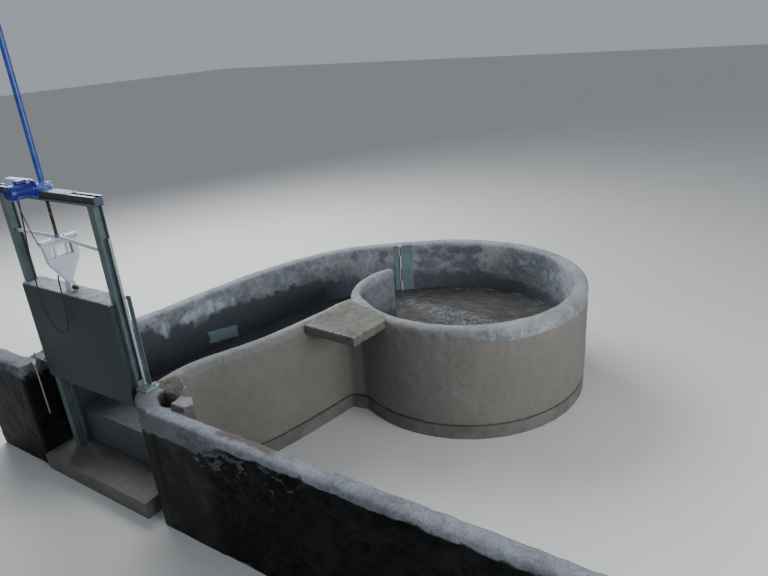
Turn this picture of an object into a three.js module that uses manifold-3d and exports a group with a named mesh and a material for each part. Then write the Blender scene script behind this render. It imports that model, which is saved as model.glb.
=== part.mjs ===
// Intake of a small vortex hydropower plant: river wall, inlet channel with a motorised sluice
// gate on a steel portal, and a round open basin that the channel enters past a curved tongue.
// Millimetres, +Z up. X runs along the river wall, Y down the channel from the gate.
// The origin is under the middle of the gate sill, on the level underside of the floor.

import * as THREE from 'three';
import { mergeVertices } from 'three/addons/utils/BufferGeometryUtils.js';
import Module from 'manifold-3d';

const wasm = await Module();
wasm.setup();

// Levels above the underside of the floor
const YARD = 1100;
const WALL_TOP = YARD + 125;
const RIVER_WALL_TOP = YARD + 100;
const BANK_WALL_TOP = YARD + 45;
const FLOOR_TOP = 150;
const SILL_TOP = 170;

// Concrete thicknesses
const BASIN_WALL = 160;
const NEAR_WALL = 150;
const TONGUE_WALL = 120;
const EDGE_ROUND = 55;
const JOINT = 0.3;

// Vortex basin
const BASIN = new THREE.Vector2(2116, 3260);
const BASIN_RADIUS = 1187;
const OUTLET_RADIUS = 210;
const RING_START = -118;
const RING_END = 99;

// Gate
const COLUMN_INNER = 600;
const COLUMN_WIDTH = 76;
const COLUMN_DEPTH = 80;
const STEEL = 8;
const BEAM_HEIGHT = 75;
const BEAM_FLANGE = 30;
const BEAM_GAP = 34;
const BEAM_TOP = 2870;
const BEAM_BOTTOM = BEAM_TOP - BEAM_HEIGHT;
const BEAM_REACH = 715;
const LEAF_HALF = 635;
const LEAF_FRONT = -90;
const LEAF_BACK = 90;
const LEAF_BOTTOM = 1046;
const LEAF_TOP = 1990;
const SKIN = 6;
const GUIDE_CLEARANCE = 6;
const STEM_RADIUS = 14;
const GATE_BACK = 110;
const PIER_RIGHT = 700;
const PIER_LEFT = -850;

const object = new THREE.Group();

const concrete = new THREE.MeshStandardMaterial({ color: 0x8f8c86, roughness: 0.95, metalness: 0 });
const wetConcrete = new THREE.MeshStandardMaterial({ color: 0x5d5b57, roughness: 0.8, metalness: 0 });
const greenSteel = new THREE.MeshStandardMaterial({ color: 0x5f706b, roughness: 0.5, metalness: 0.3 });
const paleSteel = new THREE.MeshStandardMaterial({ color: 0xaab4b0, roughness: 0.5, metalness: 0.3 });
const whitePaint = new THREE.MeshStandardMaterial({ color: 0xd9dce0, roughness: 0.45, metalness: 0.1 });
const bluePaint = new THREE.MeshStandardMaterial({ color: 0x1f4fb8, roughness: 0.4, metalness: 0.1 });
const greasedSteel = new THREE.MeshStandardMaterial({ color: 0x2d2724, roughness: 0.35, metalness: 0.8 });
const greyPlastic = new THREE.MeshStandardMaterial({ color: 0xc9ced2, roughness: 0.5, metalness: 0 });
const blackRubber = new THREE.MeshStandardMaterial({ color: 0x17181a, roughness: 0.6, metalness: 0 });
const gaugePaint = new THREE.MeshStandardMaterial({ color: 0xe6e1de, roughness: 0.5, metalness: 0 });

function place(name, geometry, material, x = 0, y = 0, z = 0) {
  const mesh = new THREE.Mesh(geometry, material);
  mesh.name = name;
  mesh.position.set(x, y, z);
  object.add(mesh);
  return mesh;
}

// A box from its lowest to its highest corner
function block(x0, x1, y0, y1, z0, z1) {
  const geometry = new THREE.BoxGeometry(x1 - x0, y1 - y0, z1 - z0);
  return geometry.translate((x0 + x1) / 2, (y0 + y1) / 2, (z0 + z1) / 2);
}

// A plan outline raised from z0 to z1
function slab(outline, z0, z1, holes = []) {
  const shape = new THREE.Shape(outline);
  for (const hole of holes) {
    shape.holes.push(hole);
  }
  const options = { depth: z1 - z0, bevelEnabled: false, curveSegments: 16 };
  return new THREE.ExtrudeGeometry(shape, options).translate(0, 0, z0);
}

function points(pairs) {
  return pairs.map(([x, y]) => new THREE.Vector2(x, y));
}

function curveThrough(list) {
  const path = list.map((p) => new THREE.Vector3(p.x, p.y, 0));
  return new THREE.CatmullRomCurve3(path, false, 'centripetal');
}

// The stretch of a line between two of its control points, counted in control points
class Stretch extends THREE.Curve {
  constructor(line, first, last) {
    super();
    this.line = line;
    this.first = first / (line.points.length - 1);
    this.last = last / (line.points.length - 1);
  }

  getPoint(t, target = new THREE.Vector3()) {
    return this.line.getPoint(this.first + t * (this.last - this.first), target);
  }
}

// Wall section to the right of a line: x of the shape runs down, y to the left of the line
function wallSection(width, z0, z1, round) {
  const shape = new THREE.Shape();
  shape.moveTo(-z0, 0);
  shape.lineTo(-z0, -width);
  shape.lineTo(round - z1, -width);
  shape.absarc(round - z1, round - width, round, 1.5 * Math.PI, Math.PI, true);
  shape.lineTo(-z1, -round);
  shape.absarc(round - z1, -round, round, Math.PI, 0.5 * Math.PI, true);
  shape.lineTo(-z0, 0);
  return shape;
}

function wallAlong(line, first, last, steps, width, z0, z1, round) {
  const gap = JOINT / 2 / 290;
  const path = new Stretch(line, first + gap, last - gap);
  const options = { extrudePath: path, steps, curveSegments: 3 };
  return new THREE.ExtrudeGeometry(wallSection(width, z0, z1, round), options);
}

// Points beside a line, a distance to its right
function beside(line, first, last, count, distance) {
  const path = new Stretch(line, first, last);
  const list = [];
  for (let i = 0; i <= count; i += 1) {
    const p = path.getPointAt(i / count);
    const t = path.getTangentAt(i / count);
    list.push(new THREE.Vector2(p.x + t.y * distance, p.y - t.x * distance));
  }
  return list;
}

function onBasin(degrees, radius) {
  const a = THREE.MathUtils.degToRad(degrees);
  return new THREE.Vector2(BASIN.x + radius * Math.cos(a), BASIN.y + radius * Math.sin(a));
}

function solid(geometry) {
  const plain = geometry.clone();
  plain.deleteAttribute('normal');
  plain.deleteAttribute('uv');
  const merged = mergeVertices(plain, 1e-3);
  const index = merged.index.array;
  const corners = [];
  for (let i = 0; i < index.length; i += 3) {
    const [a, b, c] = index.subarray(i, i + 3);
    if (a !== b && b !== c && c !== a) {
      corners.push(a, b, c);
    }
  }
  const mesh = new wasm.Mesh({
    numProp: 3,
    vertProperties: new Float32Array(merged.attributes.position.array),
    triVerts: new Uint32Array(corners),
  });
  return new wasm.Manifold(mesh);
}

function shell(manifold) {
  const mesh = manifold.getMesh();
  const geometry = new THREE.BufferGeometry();
  geometry.setAttribute('position', new THREE.BufferAttribute(mesh.vertProperties, 3));
  geometry.setIndex(new THREE.BufferAttribute(mesh.triVerts, 1));
  return geometry;
}

function join(...geometries) {
  return shell(geometries.map(solid).reduce((whole, next) => whole.add(next)));
}

function cut(geometry, ...tools) {
  return shell(tools.map(solid).reduce((rest, tool) => rest.subtract(tool), solid(geometry)));
}

// A round bar along Z
function rod(radius, x, y, z0, z1, sides = 24) {
  const geometry = new THREE.CylinderGeometry(radius, radius, z1 - z0, sides);
  return geometry.rotateX(Math.PI / 2).translate(x, y, (z0 + z1) / 2);
}

// A round bar along X
function bar(radius, x0, x1, y, z, sides = 24) {
  const geometry = new THREE.CylinderGeometry(radius, radius, x1 - x0, sides);
  return geometry.rotateZ(Math.PI / 2).translate((x0 + x1) / 2, y, z);
}

// A round bar along Y
function drum(radius, x, y0, y1, z, sides = 28) {
  const geometry = new THREE.CylinderGeometry(radius, radius, y1 - y0, sides);
  return geometry.translate(x, (y0 + y1) / 2, z);
}

// Inner face of the outer wall: round basin, scroll, then the far side of the channel
const RING_STEPS = 15;
const outerPoints = [];
for (let i = 0; i <= RING_STEPS; i += 1) {
  const angle = RING_START + ((RING_END - RING_START) * i) / RING_STEPS;
  outerPoints.push(onBasin(angle, BASIN_RADIUS));
}
outerPoints.push(onBasin(112, 1225), onBasin(125, 1275), onBasin(138, 1325));
outerPoints.push(...points([
  [630, 3810], [330, 3550], [100, 3210], [-80, 2830], [-210, 2410],
  [-300, 1950], [-380, 1450], [-450, 950], [-650, 400], [-650, GATE_BACK],
]));
const outerLine = curveThrough(outerPoints);
const SCROLL = RING_STEPS;
const CHANNEL = SCROLL + 6;
const OUTER_END = outerPoints.length - 1;

// Near side of the channel, from the gate to the tongue
const nearPoints = points([
  [690, GATE_BACK], [690, 370], [740, 600], [830, 800], [925, 1000],
  [1000, 1240], [1055, 1480], [1100, 1700], [1140, 1900], [1170, 2060],
]);
const nearLine = curveThrough(nearPoints);
const NEAR_END = nearPoints.length - 1;

// Basin face of the tongue, from its round nose back to the basin wall
const tonguePoints = points([[1235, 3130], [1180, 3010], [1158, 2830], [1190, 2630]]);
tonguePoints.push(onBasin(-135, BASIN_RADIUS), onBasin(-127, BASIN_RADIUS));
const tongueLine = curveThrough(tonguePoints);
const TONGUE_END = tonguePoints.length - 1;

// Floors: their edges are the outer faces of the walls that stand on them
const nearOuter = beside(nearLine, 0, NEAR_END, 12, NEAR_WALL);
const ringOuterStart = onBasin(RING_START, BASIN_RADIUS + BASIN_WALL);
const nearOuterEnd = nearOuter[nearOuter.length - 1];
const FLOOR_SPLIT = CHANNEL + 2;
const basinOutline = beside(outerLine, 0, FLOOR_SPLIT, 46, BASIN_WALL);
const floorSplitPoint = basinOutline[basinOutline.length - 1].clone();
basinOutline.push(nearOuterEnd.clone());
const outlet = new THREE.Path().absarc(BASIN.x, BASIN.y, OUTLET_RADIUS, 0, 2 * Math.PI, true);
place('basin_floor', slab(basinOutline, 0, FLOOR_TOP, [outlet]), wetConcrete);

const channelOutline = beside(outerLine, FLOOR_SPLIT, OUTER_END, 12, BASIN_WALL);
channelOutline.push(...nearOuter);
const channelFloor = channelOutline.map((p) => new THREE.Vector2(p.x, p.y));
channelFloor[0].set(floorSplitPoint.x, floorSplitPoint.y - JOINT);
channelFloor[channelFloor.length - 1].set(nearOuterEnd.x, nearOuterEnd.y - JOINT);
place('channel_floor', slab(channelFloor, 0, FLOOR_TOP), wetConcrete);

// Round basin wall in segments
const ringCuts = [0, 4, 8, 12, SCROLL];
for (let i = 0; i < ringCuts.length - 1; i += 1) {
  const geometry = wallAlong(
    outerLine, ringCuts[i], ringCuts[i + 1], 12, BASIN_WALL, FLOOR_TOP, WALL_TOP, EDGE_ROUND);
  place(`basin_wall_${i + 1}`, geometry, concrete);
}

// Scroll and far wall of the channel
const outerCuts = [['scroll_wall_1', SCROLL, SCROLL + 3, 16], ['scroll_wall_2', SCROLL + 3, CHANNEL, 16],
  ['far_channel_wall_1', CHANNEL, CHANNEL + 3, 12], ['far_channel_wall_2', CHANNEL + 3, OUTER_END, 14]];
for (const [name, first, last, steps] of outerCuts) {
  const geometry = wallAlong(
    outerLine, first, last, steps, BASIN_WALL, FLOOR_TOP, WALL_TOP, EDGE_ROUND);
  place(name, geometry, concrete);
}

place('near_channel_wall',
  wallAlong(nearLine, 0, NEAR_END, 20, NEAR_WALL, FLOOR_TOP, WALL_TOP, EDGE_ROUND), concrete);

// Tongue: a curved wall that ends in a round nose
const noseRound = EDGE_ROUND - 5;
const noseStart = tongueLine.getPoint(0);
const noseTangent = tongueLine.getTangent(0);
const noseX = noseStart.x + (noseTangent.y * TONGUE_WALL) / 2;
const noseY = noseStart.y - (noseTangent.x * TONGUE_WALL) / 2;
const noseHalf = TONGUE_WALL / 2;
const noseProfile = points([[0, FLOOR_TOP], [noseHalf, FLOOR_TOP], [noseHalf, WALL_TOP - noseRound],
  [noseHalf - 0.134 * noseRound, WALL_TOP - 0.5 * noseRound],
  [noseHalf - 0.5 * noseRound, WALL_TOP - 0.134 * noseRound],
  [noseHalf - noseRound, WALL_TOP], [0, WALL_TOP]]);
const nose = new THREE.LatheGeometry(noseProfile, 20).rotateX(Math.PI / 2).translate(noseX, noseY, 0);
const tongueBody = wallAlong(
  tongueLine, 0, TONGUE_END, 14, TONGUE_WALL, FLOOR_TOP, WALL_TOP, noseRound);
place('tongue_wall', join(tongueBody, nose), concrete);

// Root of the tongue, where basin wall, channel wall and tongue meet
const rootOutline = [nearLine.getPoint(1), nearOuterEnd, ringOuterStart,
  onBasin(RING_START, BASIN_RADIUS), onBasin(-122.5, BASIN_RADIUS), onBasin(-127, BASIN_RADIUS),
  onBasin(-127, BASIN_RADIUS + TONGUE_WALL), new THREE.Vector2(1222, 2235)];
const rootShape = rootOutline.map((p) => new THREE.Vector2(p.x, p.y));
place('tongue_root', slab(rootShape, FLOOR_TOP, WALL_TOP - 8), concrete);

// Landing slab in the corner between channel wall and basin wall
const SLAB_TOP = WALL_TOP + 5;
const SLAB_THICKNESS = 100;
const SLAB_CLEARANCE = 1;
const slabOutline = beside(nearLine, 6, NEAR_END, 5, NEAR_WALL + SLAB_CLEARANCE);
for (const angle of [RING_START, -114, -110, -106, -102]) {
  slabOutline.push(onBasin(angle, BASIN_RADIUS + BASIN_WALL + SLAB_CLEARANCE));
}
slabOutline.push(new THREE.Vector2(1850, 1470));
place('landing_slab', slab(slabOutline, SLAB_TOP - SLAB_THICKNESS, SLAB_TOP), concrete);

// Gate sill and piers
place('gate_sill', block(PIER_LEFT + JOINT, PIER_RIGHT - JOINT, -270, GATE_BACK - JOINT, 0, SILL_TOP),
  wetConcrete);
const PIER_RIGHT_END = 1020;
const PIER_LEFT_END = -1000;
const pierRightOutline = points([[PIER_RIGHT, GATE_BACK - JOINT], [PIER_RIGHT, -75], [740, -130],
  [810, -190], [900, -240], [PIER_RIGHT_END, -250], [PIER_RIGHT_END, GATE_BACK - JOINT]]);
place('gate_pier_right', slab(pierRightOutline, 0, WALL_TOP - 5), concrete);
const pierLeftOutline = points([[PIER_LEFT, GATE_BACK - JOINT], [PIER_LEFT_END, GATE_BACK - JOINT],
  [PIER_LEFT_END, -250], [-880, -250], [PIER_LEFT, -225]]);
place('gate_pier_left', slab(pierLeftOutline, 0, BANK_WALL_TOP), concrete);

// River wall with its rounded coping, and the bank wall beyond the gate
const RIVER_WALL_END = 4870;
const RIVER_WALL_FRONT = -240;
const RIVER_WALL_BACK = -118;
const COPING_HEIGHT = 70;
const COPING_LIP = 14;
const COPING_ROUND = 45;
place('river_wall', block(PIER_RIGHT_END + JOINT, RIVER_WALL_END, RIVER_WALL_FRONT, RIVER_WALL_BACK,
  0, RIVER_WALL_TOP - COPING_HEIGHT), wetConcrete);
const copingLine = curveThrough(points([[PIER_RIGHT_END + JOINT, RIVER_WALL_BACK + COPING_LIP],
  [2300, RIVER_WALL_BACK + COPING_LIP], [3600, RIVER_WALL_BACK + COPING_LIP],
  [RIVER_WALL_END, RIVER_WALL_BACK + COPING_LIP]]));
const copingWidth = RIVER_WALL_BACK - RIVER_WALL_FRONT + 2 * COPING_LIP;
place('river_coping', wallAlong(copingLine, 0, 3, 8, copingWidth, RIVER_WALL_TOP - COPING_HEIGHT,
  RIVER_WALL_TOP, COPING_ROUND), concrete);
const BANK_WALL_END = -1750;
const bankLine = curveThrough(points([[BANK_WALL_END, -60], [-1400, -60], [PIER_LEFT_END - JOINT, -60]]));
place('bank_wall', wallAlong(bankLine, 0, 2, 6, 190, 0, BANK_WALL_TOP, EDGE_ROUND), concrete);

// Broken corner behind the right pier, with a loose block on it
const haunchFront = RIVER_WALL_BACK + COPING_LIP + JOINT;
const haunchOutline = points([[PIER_RIGHT_END - 175, GATE_BACK], [PIER_RIGHT_END + JOINT, GATE_BACK],
  [PIER_RIGHT_END + JOINT, haunchFront], [1330, haunchFront],
  [1180, 90], [990, 200], [860, 240]]);
place('corner_haunch', slab(haunchOutline, 0, RIVER_WALL_TOP - 15), concrete);

// Columns of the portal: rolled sections with their flanges to the front and back
function column(side) {
  const inner = side * COLUMN_INNER;
  const outer = side * (COLUMN_INNER + COLUMN_WIDTH);
  const [x0, x1] = [Math.min(inner, outer), Math.max(inner, outer)];
  const middle = (x0 + x1) / 2;
  const half = COLUMN_DEPTH / 2;
  const outline = points([[x0, -half], [x1, -half], [x1, STEEL - half], [middle + STEEL / 2, STEEL - half],
    [middle + STEEL / 2, half - STEEL], [x1, half - STEEL], [x1, half], [x0, half],
    [x0, half - STEEL], [middle - STEEL / 2, half - STEEL], [middle - STEEL / 2, STEEL - half],
    [x0, STEEL - half]]);
  return slab(outline, SILL_TOP, BEAM_BOTTOM);
}
place('column_right', column(1), greenSteel);
place('column_left', column(-1), greenSteel);

// Anchor plates that tie the columns to the piers
const PLATE = 12;
const columnOuter = COLUMN_INNER + COLUMN_WIDTH;
const rightPlate = join(block(columnOuter + JOINT, 820, -70, 66, WALL_TOP - 5, WALL_TOP - 5 + PLATE),
  block(columnOuter + JOINT, columnOuter + 9, -40, 40, WALL_TOP - 140, WALL_TOP + 60));
place('base_plate_right', rightPlate, greenSteel);
place('base_plate_left', block(-980, -columnOuter - JOINT, -60, 66, BANK_WALL_TOP, BANK_WALL_TOP + PLATE),
  greenSteel);

// Flat bar and short angle post on the outer side of the right column
const plateTop = WALL_TOP - 5 + PLATE;
const SIDE_BAR_TOP = 2530;
const POST_TOP = 2045;
const POST_X = 700;
place('side_bar', block(columnOuter + 10, columnOuter + 20, 8, 30, plateTop, SIDE_BAR_TOP), paleSteel);
place('rear_post', join(block(POST_X, POST_X + 40, 44, 50, plateTop, POST_TOP),
  block(POST_X, POST_X + 6, 34, 44.5, plateTop, POST_TOP)), greenSteel);

// Twin head beams, back to back with a slot between for the stem
function headBeam(side) {
  const web = (side * BEAM_GAP) / 2;
  const tip = side * (BEAM_GAP / 2 + BEAM_FLANGE);
  const face = web + side * 6;
  const outline = points([[web, 0], [tip, 0], [tip, STEEL], [face, STEEL],
    [face, BEAM_HEIGHT - STEEL], [tip, BEAM_HEIGHT - STEEL], [tip, BEAM_HEIGHT], [web, BEAM_HEIGHT]]);
  const shape = new THREE.Shape(outline);
  const geometry = new THREE.ExtrudeGeometry(shape, { depth: 2 * BEAM_REACH, bevelEnabled: false });
  geometry.rotateX(Math.PI / 2).rotateZ(Math.PI / 2);
  return geometry.translate(-BEAM_REACH, 0, BEAM_BOTTOM);
}
place('head_beam_front', headBeam(-1), greenSteel);
place('head_beam_rear', headBeam(1), greenSteel);

// Plate over the beams that carries the drive
const DRIVE_PLATE_TOP = BEAM_TOP + 6;
const stemBore = STEM_RADIUS + 0.5;
place('drive_plate', cut(block(-140, 385, -53, 50, BEAM_TOP, DRIVE_PLATE_TOP),
  rod(stemBore + 4, 0, 0, BEAM_TOP - 10, DRIVE_PLATE_TOP + 10)), paleSteel);

// Worm gear housing round the stem; the worm lies beside it and points to the river
const PIPE_BOTTOM = 2942;
const WORM_X = 20;
const WORM_Z = DRIVE_PLATE_TOP + 29;
const WORM_FRONT = -88;
const wormBarrel = drum(25, WORM_X, WORM_FRONT, 45, WORM_Z, 24);
const wormCap = drum(28, WORM_X, 36, 58, WORM_Z, 24);
const gearBody = join(
  rod(56, 0, 0, DRIVE_PLATE_TOP, DRIVE_PLATE_TOP + 44, 28),
  rod(44, 0, 0, DRIVE_PLATE_TOP + 43, DRIVE_PLATE_TOP + 55, 28),
  rod(32, 0, 0, DRIVE_PLATE_TOP + 54, PIPE_BOTTOM, 24), wormBarrel, wormCap);
place('gear_housing', cut(gearBody, rod(stemBore, 0, 0, DRIVE_PLATE_TOP - 10, PIPE_BOTTOM + 10)),
  bluePaint);

// Motor on the worm, with two cable glands under it
const MOTOR_RADIUS = 62;
const MOTOR_FRONT = -250;
const MOTOR_FLANGE = -108;
const GLAND_BOTTOM = 2830;
const GLAND_TOP = 2875;
const LIFT_GLAND = new THREE.Vector2(-12, -215);
const LIMIT_GLAND = new THREE.Vector2(10, -234);
place('motor_body', join(drum(MOTOR_RADIUS, WORM_X, MOTOR_FRONT, MOTOR_FLANGE + 1, WORM_Z),
  drum(74, WORM_X, MOTOR_FLANGE, WORM_FRONT - JOINT, WORM_Z),
  rod(12, LIFT_GLAND.x, LIFT_GLAND.y, GLAND_BOTTOM, GLAND_TOP, 16),
  rod(8, LIMIT_GLAND.x, LIMIT_GLAND.y, GLAND_BOTTOM, GLAND_TOP, 16)), bluePaint);
place('motor_fan_cover', drum(60, WORM_X, -298, MOTOR_FRONT - JOINT, WORM_Z), bluePaint);
const TERMINAL_BOTTOM = WORM_Z + MOTOR_RADIUS + JOINT;
place('terminal_box', block(WORM_X - 26, WORM_X + 30, -222, -140, TERMINAL_BOTTOM, TERMINAL_BOTTOM + 24),
  bluePaint);
place('control_box', block(-500, -150, -45, 25, BEAM_TOP, BEAM_TOP + 75), greyPlastic);
const PIPE_TOP = 4450;
const PIPE_RADIUS = 23;
place('cover_pipe', cut(rod(PIPE_RADIUS, 0, 0, PIPE_BOTTOM, PIPE_TOP, 24),
  rod(PIPE_RADIUS - 5, 0, 0, PIPE_BOTTOM - 10, PIPE_TOP - 6, 24)), bluePaint);

// Leaf: front skin with its sides folded back, then a top plate with cut corners and angle ribs
// behind it, notched round the columns
const notch = COLUMN_DEPTH / 2 + GUIDE_CLEARANCE + 2;
const notchX = COLUMN_INNER - GUIDE_CLEARANCE;
const skinBack = LEAF_FRONT + SKIN;
const foldedSide = (x) => block(x, x + SKIN, skinBack - 1, -notch, LEAF_BOTTOM, LEAF_TOP);
place('leaf_skin', join(block(-LEAF_HALF, LEAF_HALF, LEAF_FRONT, skinBack, LEAF_BOTTOM, LEAF_TOP),
  foldedSide(-LEAF_HALF), foldedSide(LEAF_HALF - SKIN)), greenSteel);
function notchedPlate(frontHalf, corner, y0, z0, z1) {
  const outline = points([[corner - frontHalf, y0], [frontHalf - corner, y0], [frontHalf, y0 + corner],
    [frontHalf, -notch], [notchX, -notch], [notchX, notch], [LEAF_HALF, notch],
    [LEAF_HALF, LEAF_BACK], [-LEAF_HALF, LEAF_BACK], [-LEAF_HALF, notch], [-notchX, notch],
    [-notchX, -notch], [-frontHalf, -notch], [-frontHalf, y0 + corner]]);
  return slab(outline, z0, z1);
}
const LEAF_PLATE_TOP = LEAF_TOP + 10;
const PLATE_CORNER = 22;
place('leaf_top_plate', notchedPlate(LEAF_HALF, PLATE_CORNER, LEAF_FRONT, LEAF_TOP, LEAF_PLATE_TOP),
  paleSteel);
const ribHalf = LEAF_HALF - SKIN - JOINT;
const RIB_PITCH = 310;
for (let i = 0; i < 3; i += 1) {
  const z = LEAF_BOTTOM + i * RIB_PITCH;
  const rearFlange = block(-LEAF_HALF, LEAF_HALF, LEAF_BACK - 8, LEAF_BACK, z, z + 50);
  place(`leaf_rib_${i + 1}`, join(notchedPlate(ribHalf, 2, skinBack, z, z + 8), rearFlange), greenSteel);
}

// Lugs on the leaf with their pin, and the V-shaped hoist bracket that hangs on the stem
const BRACKET_TOP = 2472;
const BRACKET_HEAD = 42;
const BRACKET_HALF = 24;
const TONGUE_HALF = 26;
const LUG_TOP = LEAF_PLATE_TOP + 88;
const LUG_INNER = BRACKET_HALF + 4;
const PIN_Z = LEAF_PLATE_TOP + 30;
const PIN_RADIUS = 11;
const lug = (x) => block(x, x + 12, -28, 28, LEAF_PLATE_TOP, LUG_TOP);
const lugFoot = block(-LUG_INNER - 12, LUG_INNER + 12, -36, 36, LEAF_PLATE_TOP, LEAF_PLATE_TOP + 6);
place('clevis', cut(join(lug(LUG_INNER), lug(-LUG_INNER - 12), lugFoot),
  bar(PIN_RADIUS + JOINT, -60, 60, 0, PIN_Z, 16)), whitePaint);
const pinNut = bar(20, LUG_INNER + 13, LUG_INNER + 34, 0, PIN_Z, 16);
place('clevis_pin', join(bar(PIN_RADIUS, -52, 104, 0, PIN_Z, 16), pinNut), greasedSteel);
const bracketShape = new THREE.Shape(points([[-150, BRACKET_TOP - BRACKET_HEAD], [-136, 2276],
  [-TONGUE_HALF, 2095], [-TONGUE_HALF, LEAF_PLATE_TOP + 8], [TONGUE_HALF, LEAF_PLATE_TOP + 8],
  [TONGUE_HALF, 2095], [136, 2276], [150, BRACKET_TOP - BRACKET_HEAD]]));
const bracketOptions = { depth: 2 * BRACKET_HALF, bevelEnabled: false };
const bracketPlate = new THREE.ExtrudeGeometry(bracketShape, bracketOptions);
bracketPlate.rotateX(Math.PI / 2).rotateZ(Math.PI / 2).translate(-BRACKET_HALF, 0, 0);
const bracketHead = block(-32, 32, -162, 162, BRACKET_TOP - BRACKET_HEAD - 0.5, BRACKET_TOP);
const window = (y0, y1) => block(-60, 60, y0, y1, 2313, 2408);
place('hoist_bracket', cut(join(bracketPlate, bracketHead),
  window(-97, -72), window(-33, 33), window(72, 97),
  bar(PIN_RADIUS + JOINT, -60, 60, 0, PIN_Z, 16),
  rod(STEM_RADIUS + JOINT, 0, 0, BRACKET_TOP - 30, BRACKET_TOP + 10)), whitePaint);
const STEM_TOP = 3780;
place('stem', rod(STEM_RADIUS, 0, 0, BRACKET_TOP - 30 + JOINT, STEM_TOP), greasedSteel);

// Arms from the bracket's head into the columns; the right one is bent down a little
const ARM_TIP = COLUMN_INNER + 22;
const ARM_THICKNESS = 8;
function guideArm(rootX, tipX, tipDrop) {
  const shape = new THREE.Shape(points(
    [[rootX, -14], [tipX, -14 - tipDrop], [tipX, 16 - tipDrop], [rootX, 16]]));
  const geometry = new THREE.ExtrudeGeometry(shape, { depth: ARM_THICKNESS, bevelEnabled: false });
  return geometry.rotateX(Math.PI / 2).translate(0, ARM_THICKNESS / 2, BRACKET_TOP);
}
place('guide_arm_left', guideArm(-ARM_TIP, -32 - JOINT, 0), whitePaint);
place('guide_arm_right', guideArm(32 + JOINT, ARM_TIP, 52), whitePaint);

// Steel plate and staff gauge at the basin's entry, staff gauge on the left pier
const FITTING_BOTTOM = 560;
const platePath = new Stretch(outerLine, SCROLL + 3.315, SCROLL + 3.695);
const plateSection = new THREE.Shape(points([[-FITTING_BOTTOM, 1], [-FITTING_BOTTOM, 7],
  [4 - WALL_TOP, 7], [4 - WALL_TOP, 1]]));
const plateGeometry = new THREE.ExtrudeGeometry(plateSection, { extrudePath: platePath, steps: 4 });
place('basin_plate', plateGeometry, greenSteel);
const gaugePath = new Stretch(outerLine, SCROLL + 3.555, SCROLL + 3.59);
const gaugeSection = new THREE.Shape(points([[-FITTING_BOTTOM, 7.6], [-FITTING_BOTTOM, 16],
  [-WALL_TOP, 16], [-WALL_TOP, 7.6]]));
const gaugeGeometry = new THREE.ExtrudeGeometry(gaugeSection, { extrudePath: gaugePath, steps: 1 });
place('basin_gauge', gaugeGeometry, gaugePaint);
place('gate_gauge', block(PIER_LEFT + JOINT, PIER_LEFT + 10, -120, -98, FITTING_BOTTOM, BANK_WALL_TOP),
  gaugePaint);

// Black cables from the motor: one hangs in a loop before the leaf, one runs down to the bracket
function cable(name, route, radius, steps) {
  const path = new THREE.CatmullRomCurve3(route.map(([x, y, z]) => new THREE.Vector3(x, y, z)));
  const section = new THREE.Shape().absarc(0, 0, radius, 0, 2 * Math.PI);
  const options = { extrudePath: path, steps, curveSegments: 5 };
  place(name, new THREE.ExtrudeGeometry(section, options), blackRubber);
}
const LIFT_CABLE_RADIUS = 6;
const LIMIT_CABLE_RADIUS = 4;
cable('cable_drive', [
  [LIFT_GLAND.x, LIFT_GLAND.y, GLAND_BOTTOM - JOINT], [-13, -215, 2806], [-18, -216, 2760],
  [-28, -217, 2690], [-40, -218, 2610], [-54, -220, 2520], [-68, -222, 2420], [-81, -223, 2320],
  [-92, -224, 2220], [-103, -223, 2130], [-114, -221, 2040], [-124, -216, 1950], [-128, -208, 1870],
  [-127, -197, 1800], [-119, -185, 1735], [-105, -173, 1688], [-86, -164, 1660], [-66, -156.7, 1649],
  [-50, -151, 1648]], LIFT_CABLE_RADIUS, 42);
cable('cable_leaf', [
  [-49.3, -150.8, 1648], [-35, -146, 1648.6], [-19, -141, 1658], [-3, -136, 1676], [12, -131, 1708],
  [22, -126, 1746], [27, -121, 1796], [29, -117, 1850], [30, -114, 1910], [31, -112, 1970],
  [30, -110, 2020], [26, -107, 2064], [19, -101, 2105], [10, -92, 2140], [3, -81.5, 2165]],
LIFT_CABLE_RADIUS, 22);
cable('cable_limit', [
  [LIMIT_GLAND.x, LIMIT_GLAND.y, GLAND_BOTTOM - JOINT], [10, -233.6, 2810], [9, -232, 2785],
  [9, -229, 2760], [8, -225.5, 2735], [7, -221.5, 2710], [6, -217.5, 2685], [5, -213, 2660],
  [4, -208, 2633], [3, -203, 2607], [2, -197.5, 2580], [1, -191.5, 2553], [0, -185, 2525],
  [0, -178.5, 2498], [0, -172.5, 2474], [0, -168, 2452]], LIMIT_CABLE_RADIUS, 30);

export default object;
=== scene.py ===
import math
import random

import bmesh
import bpy
import numpy as np
from mathutils import Matrix, Vector, noise


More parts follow.
